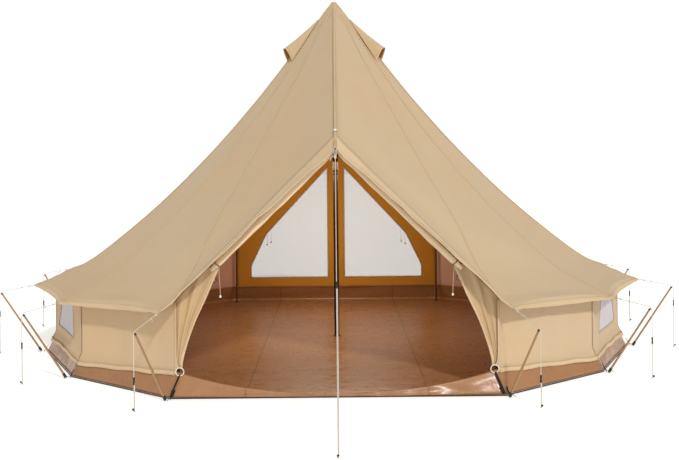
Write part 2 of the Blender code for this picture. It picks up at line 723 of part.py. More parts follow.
def make_door_guy(door):
    upper, lower = door_guy_ends(door)
    label = DOOR_NAMES[door]
    path = [lower.lerp(upper, index / DOOR_GUY_PIECES) for index in range(DOOR_GUY_PIECES + 1)]
    tube("guy_line_" + label, path, ROPE_RADIUS, "guy_rope")
    share = (DOOR_RUNNER_HEIGHT - lower.z) / (upper.z - lower.z)
    name = "guy_runner_" + label
    place(name, runner_mesh(name, upper - lower), "black_plastic", lower.lerp(upper, share))


def main():
    clear_scene()
    roof_height = roof_surface()
    frame_plane = DOOR_PLANE - FRAME_INSET
    make_roof([(0.0, door * frame_plane, roof_height(0.0, door * frame_plane)) for door in (-1, 1)])
    make_groundsheet()
    make_centre_pole()
    make_zip_slider()
    for side in (1, -1):
        make_wall(side)
        make_hood(side, roof_height)
        make_front_flap(side, roof_height)
        make_back_door(side, roof_height)
        for corner in range(FLANK_SIDES + 1):
            make_outrigger(corner, side)
    for door in (-1, 1):
        make_frame_legs(door, roof_height)
        make_frame_connector(door, roof_height)
        make_door_guy(door)
    make_corner_guys()


main()
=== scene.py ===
"""Looks of the pitched bell tent: canvas, netting, vinyl, poles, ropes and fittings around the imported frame."""
import json
import math

import bpy
import numpy as np
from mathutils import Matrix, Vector, noise
from mathutils.bvhtree import BVHTree


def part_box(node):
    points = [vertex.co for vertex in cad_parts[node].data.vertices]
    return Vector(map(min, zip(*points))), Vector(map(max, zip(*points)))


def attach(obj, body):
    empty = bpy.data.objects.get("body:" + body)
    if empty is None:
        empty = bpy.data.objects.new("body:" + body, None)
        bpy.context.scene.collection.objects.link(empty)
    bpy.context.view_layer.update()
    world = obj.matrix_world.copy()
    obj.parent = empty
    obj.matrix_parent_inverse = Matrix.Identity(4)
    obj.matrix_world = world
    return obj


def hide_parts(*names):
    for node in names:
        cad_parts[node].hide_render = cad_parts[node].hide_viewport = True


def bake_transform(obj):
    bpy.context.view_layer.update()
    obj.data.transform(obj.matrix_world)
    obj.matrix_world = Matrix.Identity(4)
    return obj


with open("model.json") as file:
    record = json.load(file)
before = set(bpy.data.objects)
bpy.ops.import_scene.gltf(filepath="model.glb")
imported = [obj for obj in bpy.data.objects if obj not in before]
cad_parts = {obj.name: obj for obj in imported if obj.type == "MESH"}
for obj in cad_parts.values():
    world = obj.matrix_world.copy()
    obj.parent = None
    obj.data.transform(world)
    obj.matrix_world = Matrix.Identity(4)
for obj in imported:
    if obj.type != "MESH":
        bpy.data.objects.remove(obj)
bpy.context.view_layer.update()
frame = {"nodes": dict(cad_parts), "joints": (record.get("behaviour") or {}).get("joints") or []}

# ---- Sizes, in metres, the same as the solids have ------------------------------------------------
UP = Vector((0.0, 0.0, 1.0))
DOOR_HALF_ANGLE = 27.0
FLANK_SIDES = 5
CORNER_STEP = (180.0 - 2.0 * DOOR_HALF_ANGLE) / FLANK_SIDES
SIDE_NAMES = {1: "right", -1: "left"}
DOOR_NAMES = {-1: "front", 1: "back"}
tray_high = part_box("groundsheet")[1]
roof_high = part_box("roof_canopy")[1]
FLOOR_RADIUS = tray_high.y / math.cos(math.radians(DOOR_HALF_ANGLE))
TRAY_WALL = tray_high.z
PEAK_HEIGHT = roof_high.z
WALL_RADIUS = 2.42
PEAK_RADIUS = 0.018
CANVAS_FOOT = TRAY_WALL - 0.020
EAVE_HEIGHT = 0.625
DOOR_EAVE_HEIGHT = 0.670
TIP_REACH = 0.180
TIP_DROP = 0.065
DOOR_TIP_DROP = 0.070
HEM_SCALLOP = 0.045
HEM_RISE = 0.026
HEM_DIP = 0.015
DOOR_APEX_HEIGHT = 1.690
HEM_BAND = 0.094
TRAY_LIP = 0.022
LIP_POWER = 2.2
DOOR_PLANE = WALL_RADIUS * math.cos(math.radians(DOOR_HALF_ANGLE))
DOOR_CORNER_X = WALL_RADIUS * math.sin(math.radians(DOOR_HALF_ANGLE))
DOOR_APEX_REACH = DOOR_PLANE + HEM_BAND
DOOR_PEG_REACH = DOOR_PLANE + 1.419
PEAK_SHARE = PEAK_RADIUS / WALL_RADIUS
FLANK_PROFILE = ((PEAK_SHARE, 1.0), (0.182, 0.768), (0.289, 0.630), (0.448, 0.445), (0.632, 0.260),
                 (0.808, 0.110), (0.895, 0.048), (1.0, 0.0))
DOOR_PROFILE = ((PEAK_SHARE, 1.0), (0.182, 0.807), (0.289, 0.693), (0.448, 0.534), (0.632, 0.352),
                (0.808, 0.187), (0.895, 0.082), (1.0, 0.0))
CANVAS = 0.0014
ROPE_RADIUS = 0.0025
GUY_RADIUS = FLOOR_RADIUS + 0.375
OUTRIGGER_FOOT = FLOOR_RADIUS + 0.045
OUTRIGGER_TOP = FLOOR_RADIUS + 0.362
OUTRIGGER_HEIGHT = 0.505
HOOD_CORNER = 2         # the seam that each vent hood straddles
HOOD_START = 0.132      # its narrow end, mouth and tip, from the tent's axis
HOOD_MOUTH = 0.396
HOOD_TIP = 0.452
HOOD_TIP_RISE = 0.146
HOOD_HALF_WIDTH = 0.110
ROLL_PROUD = 0.024      # rolled flap outwards from the line of its hem
ROOF_LINE_SLOPE = -(DOOR_APEX_HEIGHT
                    + (PEAK_HEIGHT - DOOR_APEX_HEIGHT) * HEM_BAND / (DOOR_APEX_REACH - PEAK_RADIUS)
                    - DOOR_EAVE_HEIGHT) / DOOR_CORNER_X
ROOF_LINE_TOP = DOOR_EAVE_HEIGHT - ROOF_LINE_SLOPE * DOOR_CORNER_X
FRAME_SLOPE = -0.9802
ELBOW = 0.110           # length of each side of a frame leg's bend
SKIRT_FOOT = 0.088      # lower edge of the walls' cloth, which hangs outside the tray
WALL_FACE = 1.0012      # outer face of the walls' cloth, as a share of the wall's radius
ROPE_TWIST = 260.0      # turn of a rope's strands, in radians per metre
TENT = "tent"


# ---- Materials -------------------------------------------------------------------------------------

class Paint:
    """A Principled material with a few short ways to add nodes."""

    def __init__(self, name, color, roughness, metallic=0.0, **sockets):
        self.material = bpy.data.materials.new(name)
        self.material.use_nodes = True
        self.tree = self.material.node_tree
        self.shader = self.tree.nodes["Principled BSDF"]
        self.color = color
        self.shader.inputs["Base Color"].default_value = (*color, 1.0)
        self.shader.inputs["Roughness"].default_value = roughness
        self.shader.inputs["Metallic"].default_value = metallic
        for key, value in sockets.items():
            self.shader.inputs[key.replace("_", " ")].default_value = value

    def node(self, kind, inputs=None, **settings):
        item = self.tree.nodes.new("ShaderNode" + kind)
        for key, value in settings.items():
            setattr(item, key, value)
        for key, value in (inputs or {}).items():
            if isinstance(value, bpy.types.NodeSocket):
                self.tree.links.new(value, item.inputs[key])
            else:
                item.inputs[key].default_value = value
        return item

    def coords(self, kind="Object", stretch=(1.0, 1.0, 1.0)):
        source = self.node("TexCoord").outputs[kind]
        return self.node("Mapping", {"Vector": source, "Scale": stretch}).outputs["Vector"]

    def noise(self, vector, scale, detail=3.0, roughness=0.55):
        item = self.node("TexNoise", {"Vector": vector, "Scale": scale, "Detail": detail, "Roughness": roughness})
        return item.outputs["Fac"]

    def wave(self, vector, scale, direction, distortion=0.0):
        item = self.node("TexWave", {"Vector": vector, "Scale": scale, "Distortion": distortion},
                         bands_direction=direction)
        return item.outputs["Fac"]

    def math(self, operation, first, second=0.0):
        return self.node("Math", {0: first, 1: second}, operation=operation).outputs[0]

    def spread(self, value, low, high, to_low=0.0, to_high=1.0):
        item = self.node("MapRange", {"Value": value, "From Min": low, "From Max": high,
                                      "To Min": to_low, "To Max": to_high})
        return item.outputs["Result"]

    def tint(self, factor, other):
        """Mix the colour so far with another one."""
        mix = self.node("MixRGB", {"Fac": factor, "Color2": (*other, 1.0)})
        socket = self.shader.inputs["Base Color"]
        if socket.is_linked:
            self.tree.links.new(socket.links[0].from_socket, mix.inputs["Color1"])
        else:
            mix.inputs["Color1"].default_value = (*self.color, 1.0)
        self.tree.links.new(mix.outputs["Color"], socket)

    def bump(self, height, distance, strength=1.0):
        """Add a bump on top of the bumps so far."""
        item = self.node("Bump", {"Height": height, "Distance": distance, "Strength": strength})
        socket = self.shader.inputs["Normal"]
        if socket.is_linked:
            self.tree.links.new(socket.links[0].from_socket, item.inputs["Normal"])
        self.tree.links.new(item.outputs["Normal"], socket)

    def rough(self, value, low, high):
        self.tree.links.new(self.spread(value, 0.3, 0.7, low, high), self.shader.inputs["Roughness"])


def shade(color, factor):
    return tuple(channel * factor for channel in color)


def canvas_paint(name, color, sheen=0.12):
    """Plain cotton weave: threads both ways, slubs, faint mottling and soft creases."""
    paint = Paint(name, color, 0.92, Sheen_Weight=sheen, Sheen_Roughness=0.5, Specular_IOR_Level=0.2)
    cloth = paint.coords("UV")
    place = paint.coords("Object")
    warp = paint.wave(cloth, 130.0, "X", 0.6)
    weft = paint.wave(cloth, 130.0, "Y", 0.6)
    weave = paint.math("MULTIPLY", warp, weft)
    slub = paint.noise(paint.coords("UV", (9.0, 240.0, 1.0)), 1.0, 2.0)
    mottle = paint.noise(place, 2.2, 5.0)
    cloudy = paint.noise(place, 0.7, 2.0)
    paint.tint(paint.spread(mottle, 0.35, 0.7, 0.0, 0.5), shade(color, 0.88))
    paint.tint(paint.spread(cloudy, 0.40, 0.62, 0.0, 0.55), (color[0] * 0.95, color[1] * 1.02, color[2] * 1.16))
    paint.tint(paint.spread(cloudy, 0.50, 0.36, 0.0, 0.45), (color[0] * 1.02, color[1] * 0.95, color[2] * 0.90))
    paint.tint(paint.spread(slub, 0.45, 0.75, 0.0, 0.25), shade(color, 0.88))
    paint.tint(paint.spread(weave, 0.0, 0.6, 0.14, 0.0), shade(color, 0.7))
    paint.bump(paint.noise(place, 5.0, 4.0), 0.010, 0.35)
    paint.bump(slub, 0.0006, 0.5)
    paint.bump(weave, 0.0005, 0.6)
    paint.rough(mottle, 0.88, 0.96)
    return paint.material


def tape_paint(name, color, stitches=(0.16, 0.84), pitch=0.006, stitch_color=(0.62, 0.47, 0.30)):
    """Doubled canvas strip; U runs along it in metres and V across it from 0 to 1."""
    paint = Paint(name, color, 0.9, Sheen_Weight=0.1, Sheen_Roughness=0.5, Specular_IOR_Level=0.2)
    split = paint.node("SeparateXYZ", {"Vector": paint.coords("UV")})
    along, across = split.outputs["X"], split.outputs["Y"]
    dash = paint.math("SINE", paint.math("MULTIPLY", along, 2.0 * math.pi / pitch))
    lines = None
    for place in stitches:
        near = paint.math("ABSOLUTE", paint.math("SUBTRACT", across, place))
        line = paint.spread(near, 0.02, 0.06, 1.0, 0.0)
        lines = line if lines is None else paint.math("MAXIMUM", lines, line)
    thread = paint.math("MULTIPLY", lines, paint.spread(dash, -0.4, 0.2))
    weave = paint.noise(paint.coords("Object"), 900.0, 1.0)
    faded = paint.noise(paint.coords("Object"), 6.0, 4.0)
    paint.tint(paint.spread(faded, 0.35, 0.7, 0.0, 0.4), shade(color, 0.86))
    paint.tint(paint.math("MULTIPLY", lines, 0.45), shade(color, 0.6))
    paint.tint(thread, stitch_color)
    paint.bump(paint.math("MULTIPLY", lines, -1.0), 0.0012, 0.7)
    paint.bump(thread, 0.0006, 0.8)
    paint.bump(weave, 0.0003, 0.4)
    return paint.material


def netting_paint(name, color, alpha):
    """Knitted netting: a fine grid of threads, thin enough to see through."""
    paint = Paint(name, color, 0.85, Alpha=alpha, Sheen_Weight=0.2, Specular_IOR_Level=0.2)
    cloth = paint.coords("UV")
    grid = paint.math("MAXIMUM", paint.wave(cloth, 95.0, "X"), paint.wave(cloth, 95.0, "Y"))
    cloudy = paint.noise(paint.coords("Object"), 3.0, 3.0)
    paint.tint(paint.spread(grid, 0.5, 0.95, 0.12, 0.0), shade(color, 0.8))
    paint.tint(paint.spread(cloudy, 0.35, 0.7, 0.0, 0.3), shade(color, 0.92))
    paint.bump(grid, 0.0003, 0.3)
    return paint.material


def vinyl_paint(name, color):
    """Coated groundsheet fabric: glossy, finely embossed, with welded seams along Y and soft creases."""
    paint = Paint(name, color, 0.3, Coat_Weight=0.16, Coat_Roughness=0.18, Specular_IOR_Level=0.4)
    place = paint.coords("Object")
    split = paint.node("SeparateXYZ", {"Vector": place})
    seam = paint.math("ABSOLUTE", paint.math("SUBTRACT", paint.math("ABSOLUTE", split.outputs["X"]), 0.62))
    weld = paint.spread(seam, 0.004, 0.012, 1.0, 0.0)
    creases = paint.noise(paint.coords("Object", (0.7, 2.2, 1.0)), 2.6, 4.0)
    ripple = paint.noise(place, 9.0, 5.0, 0.6)
    emboss = paint.noise(place, 420.0, 1.0)
    paint.tint(paint.spread(creases, 0.4, 0.68, 0.0, 0.4), shade(color, 0.80))
    paint.tint(paint.spread(ripple, 0.45, 0.7, 0.0, 0.3), shade(color, 1.18))
    paint.tint(paint.math("MULTIPLY", weld, 0.55), shade(color, 0.55))
    paint.bump(creases, 0.020, 0.7)
    paint.bump(ripple, 0.006, 0.6)
    paint.bump(weld, 0.0010, 0.8)
    paint.bump(emboss, 0.0003, 0.35)
    paint.rough(ripple, 0.22, 0.42)
    return paint.material


def rope_paint(name, color):
    """Braided cord; U runs along it in metres and V round it from 0 to 1."""
    paint = Paint(name, color, 0.85, Sheen_Weight=0.3, Specular_IOR_Level=0.25)
    cloth = paint.coords("UV", (1.0, 0.012, 1.0))
    braid = paint.math("MULTIPLY", paint.wave(cloth, 60.0, "DIAGONAL"), paint.wave(
        paint.coords("UV", (1.0, -0.012, 1.0)), 60.0, "DIAGONAL"))
    dirt = paint.noise(paint.coords("Object"), 14.0, 4.0)
    paint.tint(paint.spread(dirt, 0.4, 0.7, 0.0, 0.5), shade(color, 0.84))
    paint.tint(paint.spread(braid, 0.0, 0.5, 0.3, 0.0), shade(color, 0.7))
    paint.bump(braid, 0.0006, 0.8)
    return paint.material


def plastic_paint(name, color, roughness):
    """Moulded plastic with a fine spark texture and rubbed patches."""
    paint = Paint(name, color, roughness, Specular_IOR_Level=0.45)
    place = paint.coords("Object")
    rubbed = paint.noise(place, 25.0, 4.0)
    paint.tint(paint.spread(rubbed, 0.5, 0.75, 0.0, 0.4), tuple(channel * 0.8 + 0.02 for channel in color))
    paint.bump(paint.noise(place, 900.0, 1.0), 0.0002, 0.4)
    paint.rough(rubbed, roughness - 0.08, roughness + 0.1)
    return paint.material


def tube_paint(name, color, metallic, roughness):
    """Coated metal tube: drawn lines along it and a few dull scuffs."""
    paint = Paint(name, color, roughness, metallic, Coat_Weight=0.2, Coat_Roughness=0.25)
    place = paint.coords("Object")
    scuff = paint.noise(place, 30.0, 5.0)
    lines = paint.noise(paint.coords("Object", (400.0, 400.0, 6.0)), 1.0, 2.0)
    paint.tint(paint.spread(scuff, 0.55, 0.8, 0.0, 0.5), tuple(channel * 0.7 + 0.03 for channel in color))
    paint.bump(lines, 0.00015, 0.5)
    paint.rough(scuff, roughness - 0.06, roughness + 0.14)
    return paint.material


CANVAS_COLOR = (0.640, 0.466, 0.276)
# Inside faces of the cotton canvas: painted shade and painted glow of sunlight through the cloth, a deeper
# orange-brown than the outside colour.
BACKLIT_SHADE_COLOR = (0.420, 0.165, 0.026)
PAINTS = {
    "canvas": canvas_paint("canvas", CANVAS_COLOR),
    # Inside faces: painted shade and painted glow of light through the canvas.
    "canvas_inside_backlit_shade": canvas_paint("canvas_inside_backlit_shade", BACKLIT_SHADE_COLOR, 0.05),
    "canvas_flap": canvas_paint("canvas_flap", (0.600, 0.430, 0.240)),
    "seam": tape_paint("canvas_seam", shade(CANVAS_COLOR, 0.93)),
    "band": tape_paint("door_band", (0.700, 0.520, 0.315), (0.03, 0.08), 0.006, (0.50, 0.35, 0.19)),
    # Rolled front flap: painted light, the canvas made brighter so that the roll looks lit although it lies in
    # the eave's shadow.
    "canvas_roll_lit": canvas_paint("canvas_roll_lit", (0.86, 0.66, 0.41)),
    # Inner faces of the walls: painted shade, the mauve look of the canvas seen from inside with light coming
    # through it.
    "wall_inside_backlit_shade": canvas_paint("canvas_wall_inside_backlit_shade", (0.66, 0.40, 0.30), 0.05),
    # Inner face of the back door's border: painted golden glow of light coming through the doubled canvas.
    "door_inside_backlit_glow": canvas_paint("canvas_door_inside_backlit_glow", (0.59, 0.27, 0.030), 0.05),
    # Pale strip round the back door's netting: a painted highlight where the net's edge catches light from
    # behind.
    "net_edge_highlight": tape_paint("door_net_edge_highlight", (0.86, 0.76, 0.66), (0.3, 0.7), 0.004, (0.80, 0.66, 0.52)),
    "hem": tape_paint("canvas_hem", (0.665, 0.490, 0.295), (0.12, 0.88)),
    # Inside of the door trim: painted shade, a dark brown copy of the hem tape.
    "hem_inside_shade": tape_paint("canvas_hem_inside_shade", (0.30, 0.12, 0.02), (0.12, 0.88),
                             stitch_color=(0.45, 0.25, 0.08)),
    "window_net": netting_paint("window_net", (0.72, 0.70, 0.74), 0.80),
    # Inner face of the window netting: painted shade, a darker mauve copy of the lavender netting.
    "window_net_inside_shade": netting_paint("window_net_inside_shade", (0.42, 0.26, 0.26), 0.62),
    "door_net": netting_paint("door_net", (0.52, 0.535, 0.55), 0.34),
    "vent_net": netting_paint("vent_net", (0.50, 0.26, 0.08), 0.95),
    "vinyl": vinyl_paint("vinyl", (0.362, 0.176, 0.075)),
    "rope": rope_paint("guy_rope", (0.66, 0.60, 0.50)),
    "tie": rope_paint("tie_cord", (0.50, 0.32, 0.21)),
    "black": plastic_paint("black_plastic", (0.012, 0.012, 0.013), 0.42),
    "white": plastic_paint("white_plastic", (0.80, 0.77, 0.71), 0.45),
    "webbing": tape_paint("black_webbing", (0.022, 0.018, 0.015), (0.15, 0.85), 0.004, (0.05, 0.045, 0.04)),
    "tab": tape_paint("tab_webbing", (0.50, 0.36, 0.21), (0.2, 0.8), 0.004, (0.62, 0.47, 0.30)),
    "brown_tube": tube_paint("brown_tube", (0.050, 0.020, 0.010), 0.3, 0.38),
    "frame_tube": tube_paint("frame_tube", (0.130, 0.055, 0.022), 0.3, 0.40),
    "tan_tube": tube_paint("tan_tube", (0.36, 0.215, 0.095), 0.45, 0.36),
    "steel": tube_paint("steel_rod", (0.42, 0.42, 0.43), 0.9, 0.32),
}
SLOTS = dict.fromkeys(("canvas", "canvas_inside_backlit_shade", "canvas_flap", "canvas_roll_lit", "wall_inside_backlit_shade", "door_inside_backlit_glow",
                       "net_edge_highlight", "seam", "band", "hem", "hem_inside_shade", "window_net", "door_net", "vent_net"),
                      "canvas")
SLOTS.update(vinyl="groundsheet_vinyl", rope="guy_rope", tie="guy_rope", tab="guy_rope", black="black_plastic",
             webbing="black_plastic", white="white_plastic", brown_tube="brown_pole", frame_tube="brown_pole",
             tan_tube="tan_pole", steel="steel")


# ---- Mesh building ---------------------------------------------------------------------------------

def add_object(name, data):
    item = bpy.data.objects.new(name, data)
    bpy.context.scene.collection.objects.link(item)
    return item


def piece_from(name, points, faces, uvs, paints, body=TENT, replaces=(), face_paints=None):
    """Object from points, faces and one UV per face corner, riding on a body."""
    mesh = bpy.data.meshes.new(name)
    mesh.from_pydata([tuple(point) for point in points], [], faces)
    layer = mesh.uv_layers.new(name="UVMap")
    layer.data.foreach_set("uv", np.array(uvs, dtype=np.float32).ravel())
    for paint in paints:
        mesh.materials.append(PAINTS[paint])
    if face_paints is not None:
        mesh.polygons.foreach_set("material_index", np.array(face_paints, dtype=np.int32))
    mesh.shade_smooth()
    item = add_object(name, mesh)
    if body:
        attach(item, body)
    if replaces:
        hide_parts(*replaces)
    return item


def thicken(item, thickness=CANVAS, inside=0, offset=-1.0):
    """Give a sheet its thickness; inside is the material step of its inner face."""
    shell = item.modifiers.new("thickness", "SOLIDIFY")
    shell.thickness = thickness
    shell.offset = offset
    shell.material_offset = inside
    return item


def settle(item):
    """Apply the modifiers, so that a piece is ready to be blended."""
    bpy.context.view_layer.update()
    graph = bpy.context.evaluated_depsgraph_get()
    mesh = bpy.data.meshes.new_from_object(item.evaluated_get(graph), preserve_all_data_layers=True,
                                           depsgraph=graph)
    item.modifiers.clear()
    item.data = mesh
    return item


def lengths_along(path):
    """Distance from the start of a path to each of its points."""
    lengths = [0.0]
    for a, b in zip(path, path[1:]):
        lengths.append(lengths[-1] + (Vector(b) - Vector(a)).length)
    return lengths


class Builder:
    """Collects strips, tubes and blocks into one mesh."""

    def __init__(self):
        self.points = []
        self.faces = []
        self.uvs = []
        self.slots = []

    def grid(self, rows, wrap=False, uv=None, slot=0, cap=False):
        """Surface through rows of points; uv(row, column) gives a face corner's UV."""
        base = len(self.points)
        count = len(rows[0])
        for row in rows:
            self.points += [tuple(point) for point in row]
        across = count if wrap else count - 1
        for r in range(len(rows) - 1):
            for c in range(across):
                nxt = (c + 1) % count
                self.faces.append((base + r * count + c, base + (r + 1) * count + c,
                                   base + (r + 1) * count + nxt, base + r * count + nxt))
                for rr, cc in ((r, c), (r + 1, c), (r + 1, c + 1), (r, c + 1)):
                    self.uvs.append(uv(rr, cc) if uv else (cc * 0.01, rr * 0.01))
                self.slots.append(slot)
        if cap:
            for r in (0, len(rows) - 1):
                ring = [base + r * count + c for c in range(count)]
                self.faces.append(tuple(ring if r == 0 else ring[::-1]))
                self.uvs += [(0.0, 0.0)] * count
                self.slots.append(slot)
        return self

    def tube(self, path, radius, sides=10, twist=0.0, strands=3, depth=0.0, slot=0):
        """Round tube along path; radius is a number or one for each point."""
        points = [Vector(point) for point in path]
        radii = radius if hasattr(radius, "__len__") else [radius] * len(points)
        lengths = lengths_along(points)
        tangent = (points[1] - points[0]).normalized()
        side = tangent.orthogonal().normalized()
        rows = []
        for index, point in enumerate(points):
            ahead = points[min(index + 1, len(points) - 1)]
            behind = points[max(index - 1, 0)]
            tangent = (ahead - behind).normalized()
            side = (side - tangent * side.dot(tangent)).normalized()
            other = tangent.cross(side)
            row = []
            for step in range(sides):
                angle = 2.0 * math.pi * step / sides
                swell = 1.0
                if depth:
                    swell += depth * math.cos(strands * (angle - twist * lengths[index]))
                reach = radii[index] * swell
                row.append(point + side * (reach * math.cos(angle)) + other * (reach * math.sin(angle)))
            rows.append(row[::-1])
        return self.grid(rows, True, lambda r, c: (lengths[r], c / sides), slot, cap=True)

    def turned(self, profile, start, direction, sides=24, slot=0):
        """Turned solid: profile gives (distance, radius) along direction from start."""
        turn = Vector(direction).to_track_quat("Z", "Y")
        start = Vector(start)
        rows = []
        for distance, radius in profile:
            row = []
            for step in range(sides):
                angle = -2.0 * math.pi * step / sides
                row.append(start + turn @ Vector((radius * math.cos(angle), radius * math.sin(angle), distance)))
            rows.append(row)
        return self.grid(rows, True, lambda r, c: (profile[r][0], c / sides), slot, cap=True)

    def band(self, path, width_vectors, thickness, normals, slot=0):
        """Flat strap along path with a real thickness; V runs across it."""
        rows = []
        lengths = lengths_along(path)
        for point, across, normal in zip(path, width_vectors, normals):
            point, across, normal = Vector(point), Vector(across), Vector(normal) * thickness
            rows.append([point - across, point - across * 0.5 + normal * 0.2, point + across * 0.5 + normal * 0.2,
                         point + across, point + across + normal, point + across * 0.5 + normal * 1.2,
                         point - across * 0.5 + normal * 1.2, point - across + normal])
        place = (0.0, 0.25, 0.75, 1.0, 1.0, 0.75, 0.25, 0.0)
        return self.grid(rows, True, lambda r, c: (lengths[r], place[c % 8]), slot, cap=True)

    def fan(self, centre, start, count, uv=(0.0, 0.0), reverse=False):
        """Close a ring of points, the first of them number start, with triangles round a middle point."""
        middle = len(self.points)
        self.points.append(tuple(centre))
        for c in range(count):
            here, there = start + c, start + (c + 1) % count
            self.faces.append((here, middle, there) if reverse else (middle, here, there))
            self.uvs += [uv] * 3
            self.slots.append(0)

    def build(self, name, paints, body=TENT, replaces=()):
        return piece_from(name, self.points, self.faces, self.uvs, paints, body, replaces, self.slots)


def smooth_curve(points, spacing):
    """Points along a smooth curve through the given ones, about spacing apart."""
    points = [Vector(point) for point in points]
    padded = [2.0 * points[0] - points[1]] + points + [2.0 * points[-1] - points[-2]]
    out = []
    for index in range(1, len(padded) - 2):
        a, b, c, d = padded[index - 1:index + 3]
        count = max(1, int(math.ceil((c - b).length / spacing)))
        for step in range(count):
            t = step / count
            out.append(0.5 * (2.0 * b + (c - a) * t + (2.0 * a - 5.0 * b + 4.0 * c - d) * t * t
                              + (3.0 * b - a - 3.0 * c + d) * t ** 3))
    out.append(points[-1])
    return out


def straight(start, end, spacing):
    start, end = Vector(start), Vector(end)
    count = max(1, int(math.ceil((end - start).length / spacing)))
    return [start.lerp(end, index / count) for index in range(count + 1)]


def path_length(path):
    return lengths_along(path)[-1]


def direction(corner, side):
    angle = math.radians(DOOR_HALF_ANGLE + CORNER_STEP * corner)
    return Vector((side * math.sin(angle), -math.cos(angle), 0.0))


def corner_point(corner, side, radius, height):
    return direction(corner, side) * radius + UP * height


def panel_direction(panel, side):
    """Level direction out through the middle of a wall panel."""
    return (corner_point(panel, side, 1.0, 0.0) + corner_point(panel + 1, side, 1.0, 0.0)).normalized()


def crosswise(outward):
    return Vector((-outward.y, outward.x, 0.0))


def corner_label(corner, side):
    return "%s_%d" % (SIDE_NAMES[side], corner + 1)


def is_door_corner(corner):
    return corner in (0, FLANK_SIDES)


def eave_height(corner):
    return DOOR_EAVE_HEIGHT if is_door_corner(corner) else EAVE_HEIGHT


def tip_point(corner, side):
    drop = DOOR_TIP_DROP if is_door_corner(corner) else TIP_DROP
    return corner_point(corner, side, WALL_RADIUS + TIP_REACH, eave_height(corner) - drop)


def profile_height(profile, share):
    """Smooth height share along a seam profile."""
    for index in range(len(profile) - 1):
        (x0, y0), (x1, y1) = profile[index], profile[index + 1]
        if share <= x1 or index == len(profile) - 2:
            before = profile[max(index - 1, 0)]
            after = profile[min(index + 2, len(profile) - 1)]
            m0 = (y1 - before[1]) / (x1 - before[0])
            m1 = (after[1] - y0) / (after[0] - x0)
            h = x1 - x0
            t = (share - x0) / h
            return ((2 * t ** 3 - 3 * t ** 2 + 1) * y0 + (t ** 3 - 2 * t ** 2 + t) * h * m0
                    + (3 * t ** 2 - 2 * t ** 3) * y1 + (t ** 3 - t ** 2) * h * m1)


# ---- Roof ------------------------------------------------------------------------------------------
ROOF_ROWS = 46          # from the peak to the wall line
EAVE_ROWS = 6           # from the wall line to the hem's fold
HEM_ROWS = 5            # down the hem
HEM_START = 0.75        # share of the way from the wall line to the edge where the hem folds
ROW_POWER = 0.92        # rows lie a little wider apart near the peak
BAND_ROW = 44           # row where the wide band over a door starts
FLANK_COLUMNS = 20
DOOR_COLUMNS = 16
EAVE_SHARES = [index / EAVE_ROWS for index in range(1, EAVE_ROWS + 1)]
HEM_SHARES = [index / HEM_ROWS for index in range(1, HEM_ROWS + 1)]


def seam_line(corner, side):
    """Roof points down a corner's seam: roof rows, then eave rows, then hem rows."""
    profile = DOOR_PROFILE if is_door_corner(corner) else FLANK_PROFILE
    eave = eave_height(corner)
    points = []
    for row in range(ROOF_ROWS + 1):
        share = (row / ROOF_ROWS) ** ROW_POWER
        radius = PEAK_RADIUS + (WALL_RADIUS - PEAK_RADIUS) * share
        height = eave + (PEAK_HEIGHT - eave) * profile_height(profile, radius / WALL_RADIUS)
        points.append(corner_point(corner, side, radius, height))
    wall, tip = points[-1], tip_point(corner, side)
    fold = wall.lerp(tip, HEM_START)
    points += [wall.lerp(fold, share) for share in EAVE_SHARES]
    points += [fold.lerp(tip, share) for share in HEM_SHARES]
    return points


def ridge_line(door):
    """Roof points down the ridge over a door, in the same rows."""
    def at(distance):
        share = (distance - PEAK_RADIUS) / (DOOR_APEX_REACH - PEAK_RADIUS)
        return Vector((0.0, door * distance, PEAK_HEIGHT + (DOOR_APEX_HEIGHT - PEAK_HEIGHT) * share))
    wall = DOOR_APEX_REACH - HEM_BAND
    points = []
    for row in range(ROOF_ROWS + 1):
        points.append(at(PEAK_RADIUS + (wall - PEAK_RADIUS) * (row / ROOF_ROWS) ** ROW_POWER))
    points += [at(wall + HEM_BAND * HEM_START * share) for share in EAVE_SHARES]
    points += [at(wall + HEM_BAND * (HEM_START + (1.0 - HEM_START) * share)) for share in HEM_SHARES]
    return points


def roof_panels():
    """The fourteen roof panels, counter-clockwise from the front ridge: two seams, columns, over a door."""
    rim = [ridge_line(-1)] + [seam_line(corner, 1) for corner in range(FLANK_SIDES + 1)]
    rim += [ridge_line(1)] + [seam_line(corner, -1) for corner in reversed(range(FLANK_SIDES + 1))]
    door_panels = (0, FLANK_SIDES + 1, FLANK_SIDES + 2, 2 * FLANK_SIDES + 3)
    panels = []
    for index, seam in enumerate(rim):
        over_door = index in door_panels
        count = DOOR_COLUMNS if over_door else FLANK_COLUMNS
        panels.append((seam, rim[(index + 1) % len(rim)], count, over_door))
    return panels


def roof_grid():
    """Roof surface as an array of rows by columns, with each column's panel and share across it."""
    columns, marks = [], []
    for number, (first, second, count, over_door) in enumerate(roof_panels()):
        inward = -(first[-1] + second[-1])
        inward.z = 0.0
        inward.normalize()
        for step in range(count):
            t = step / count
            column = [a.lerp(b, t) for a, b in zip(first, second)]
            bow = 0.0 if over_door else 4.0 * t * (1.0 - t)
            for index, share in enumerate(EAVE_SHARES):
                column[ROOF_ROWS + 1 + index] += bow * share * (inward * HEM_SCALLOP + UP * HEM_RISE)
            for index, share in enumerate(HEM_SHARES):
                lift = HEM_RISE - (HEM_RISE + HEM_DIP) * share
                column[ROOF_ROWS + 1 + EAVE_ROWS + index] += bow * (inward * HEM_SCALLOP + UP * lift)
            columns.append(column)
            marks.append((number, t, count, over_door))
    grid = np.array([[tuple(point) for point in column] for column in columns]).transpose(1, 0, 2)
    return grid, marks


def grid_normals(grid, wrap):
    down = np.gradient(grid, axis=0)
    if wrap:
        across = np.roll(grid, -1, axis=1) - np.roll(grid, 1, axis=1)
    else:
        across = np.gradient(grid, axis=1)
    normal = np.cross(down, across)
    return normal / np.maximum(np.linalg.norm(normal, axis=2, keepdims=True), 1e-9)


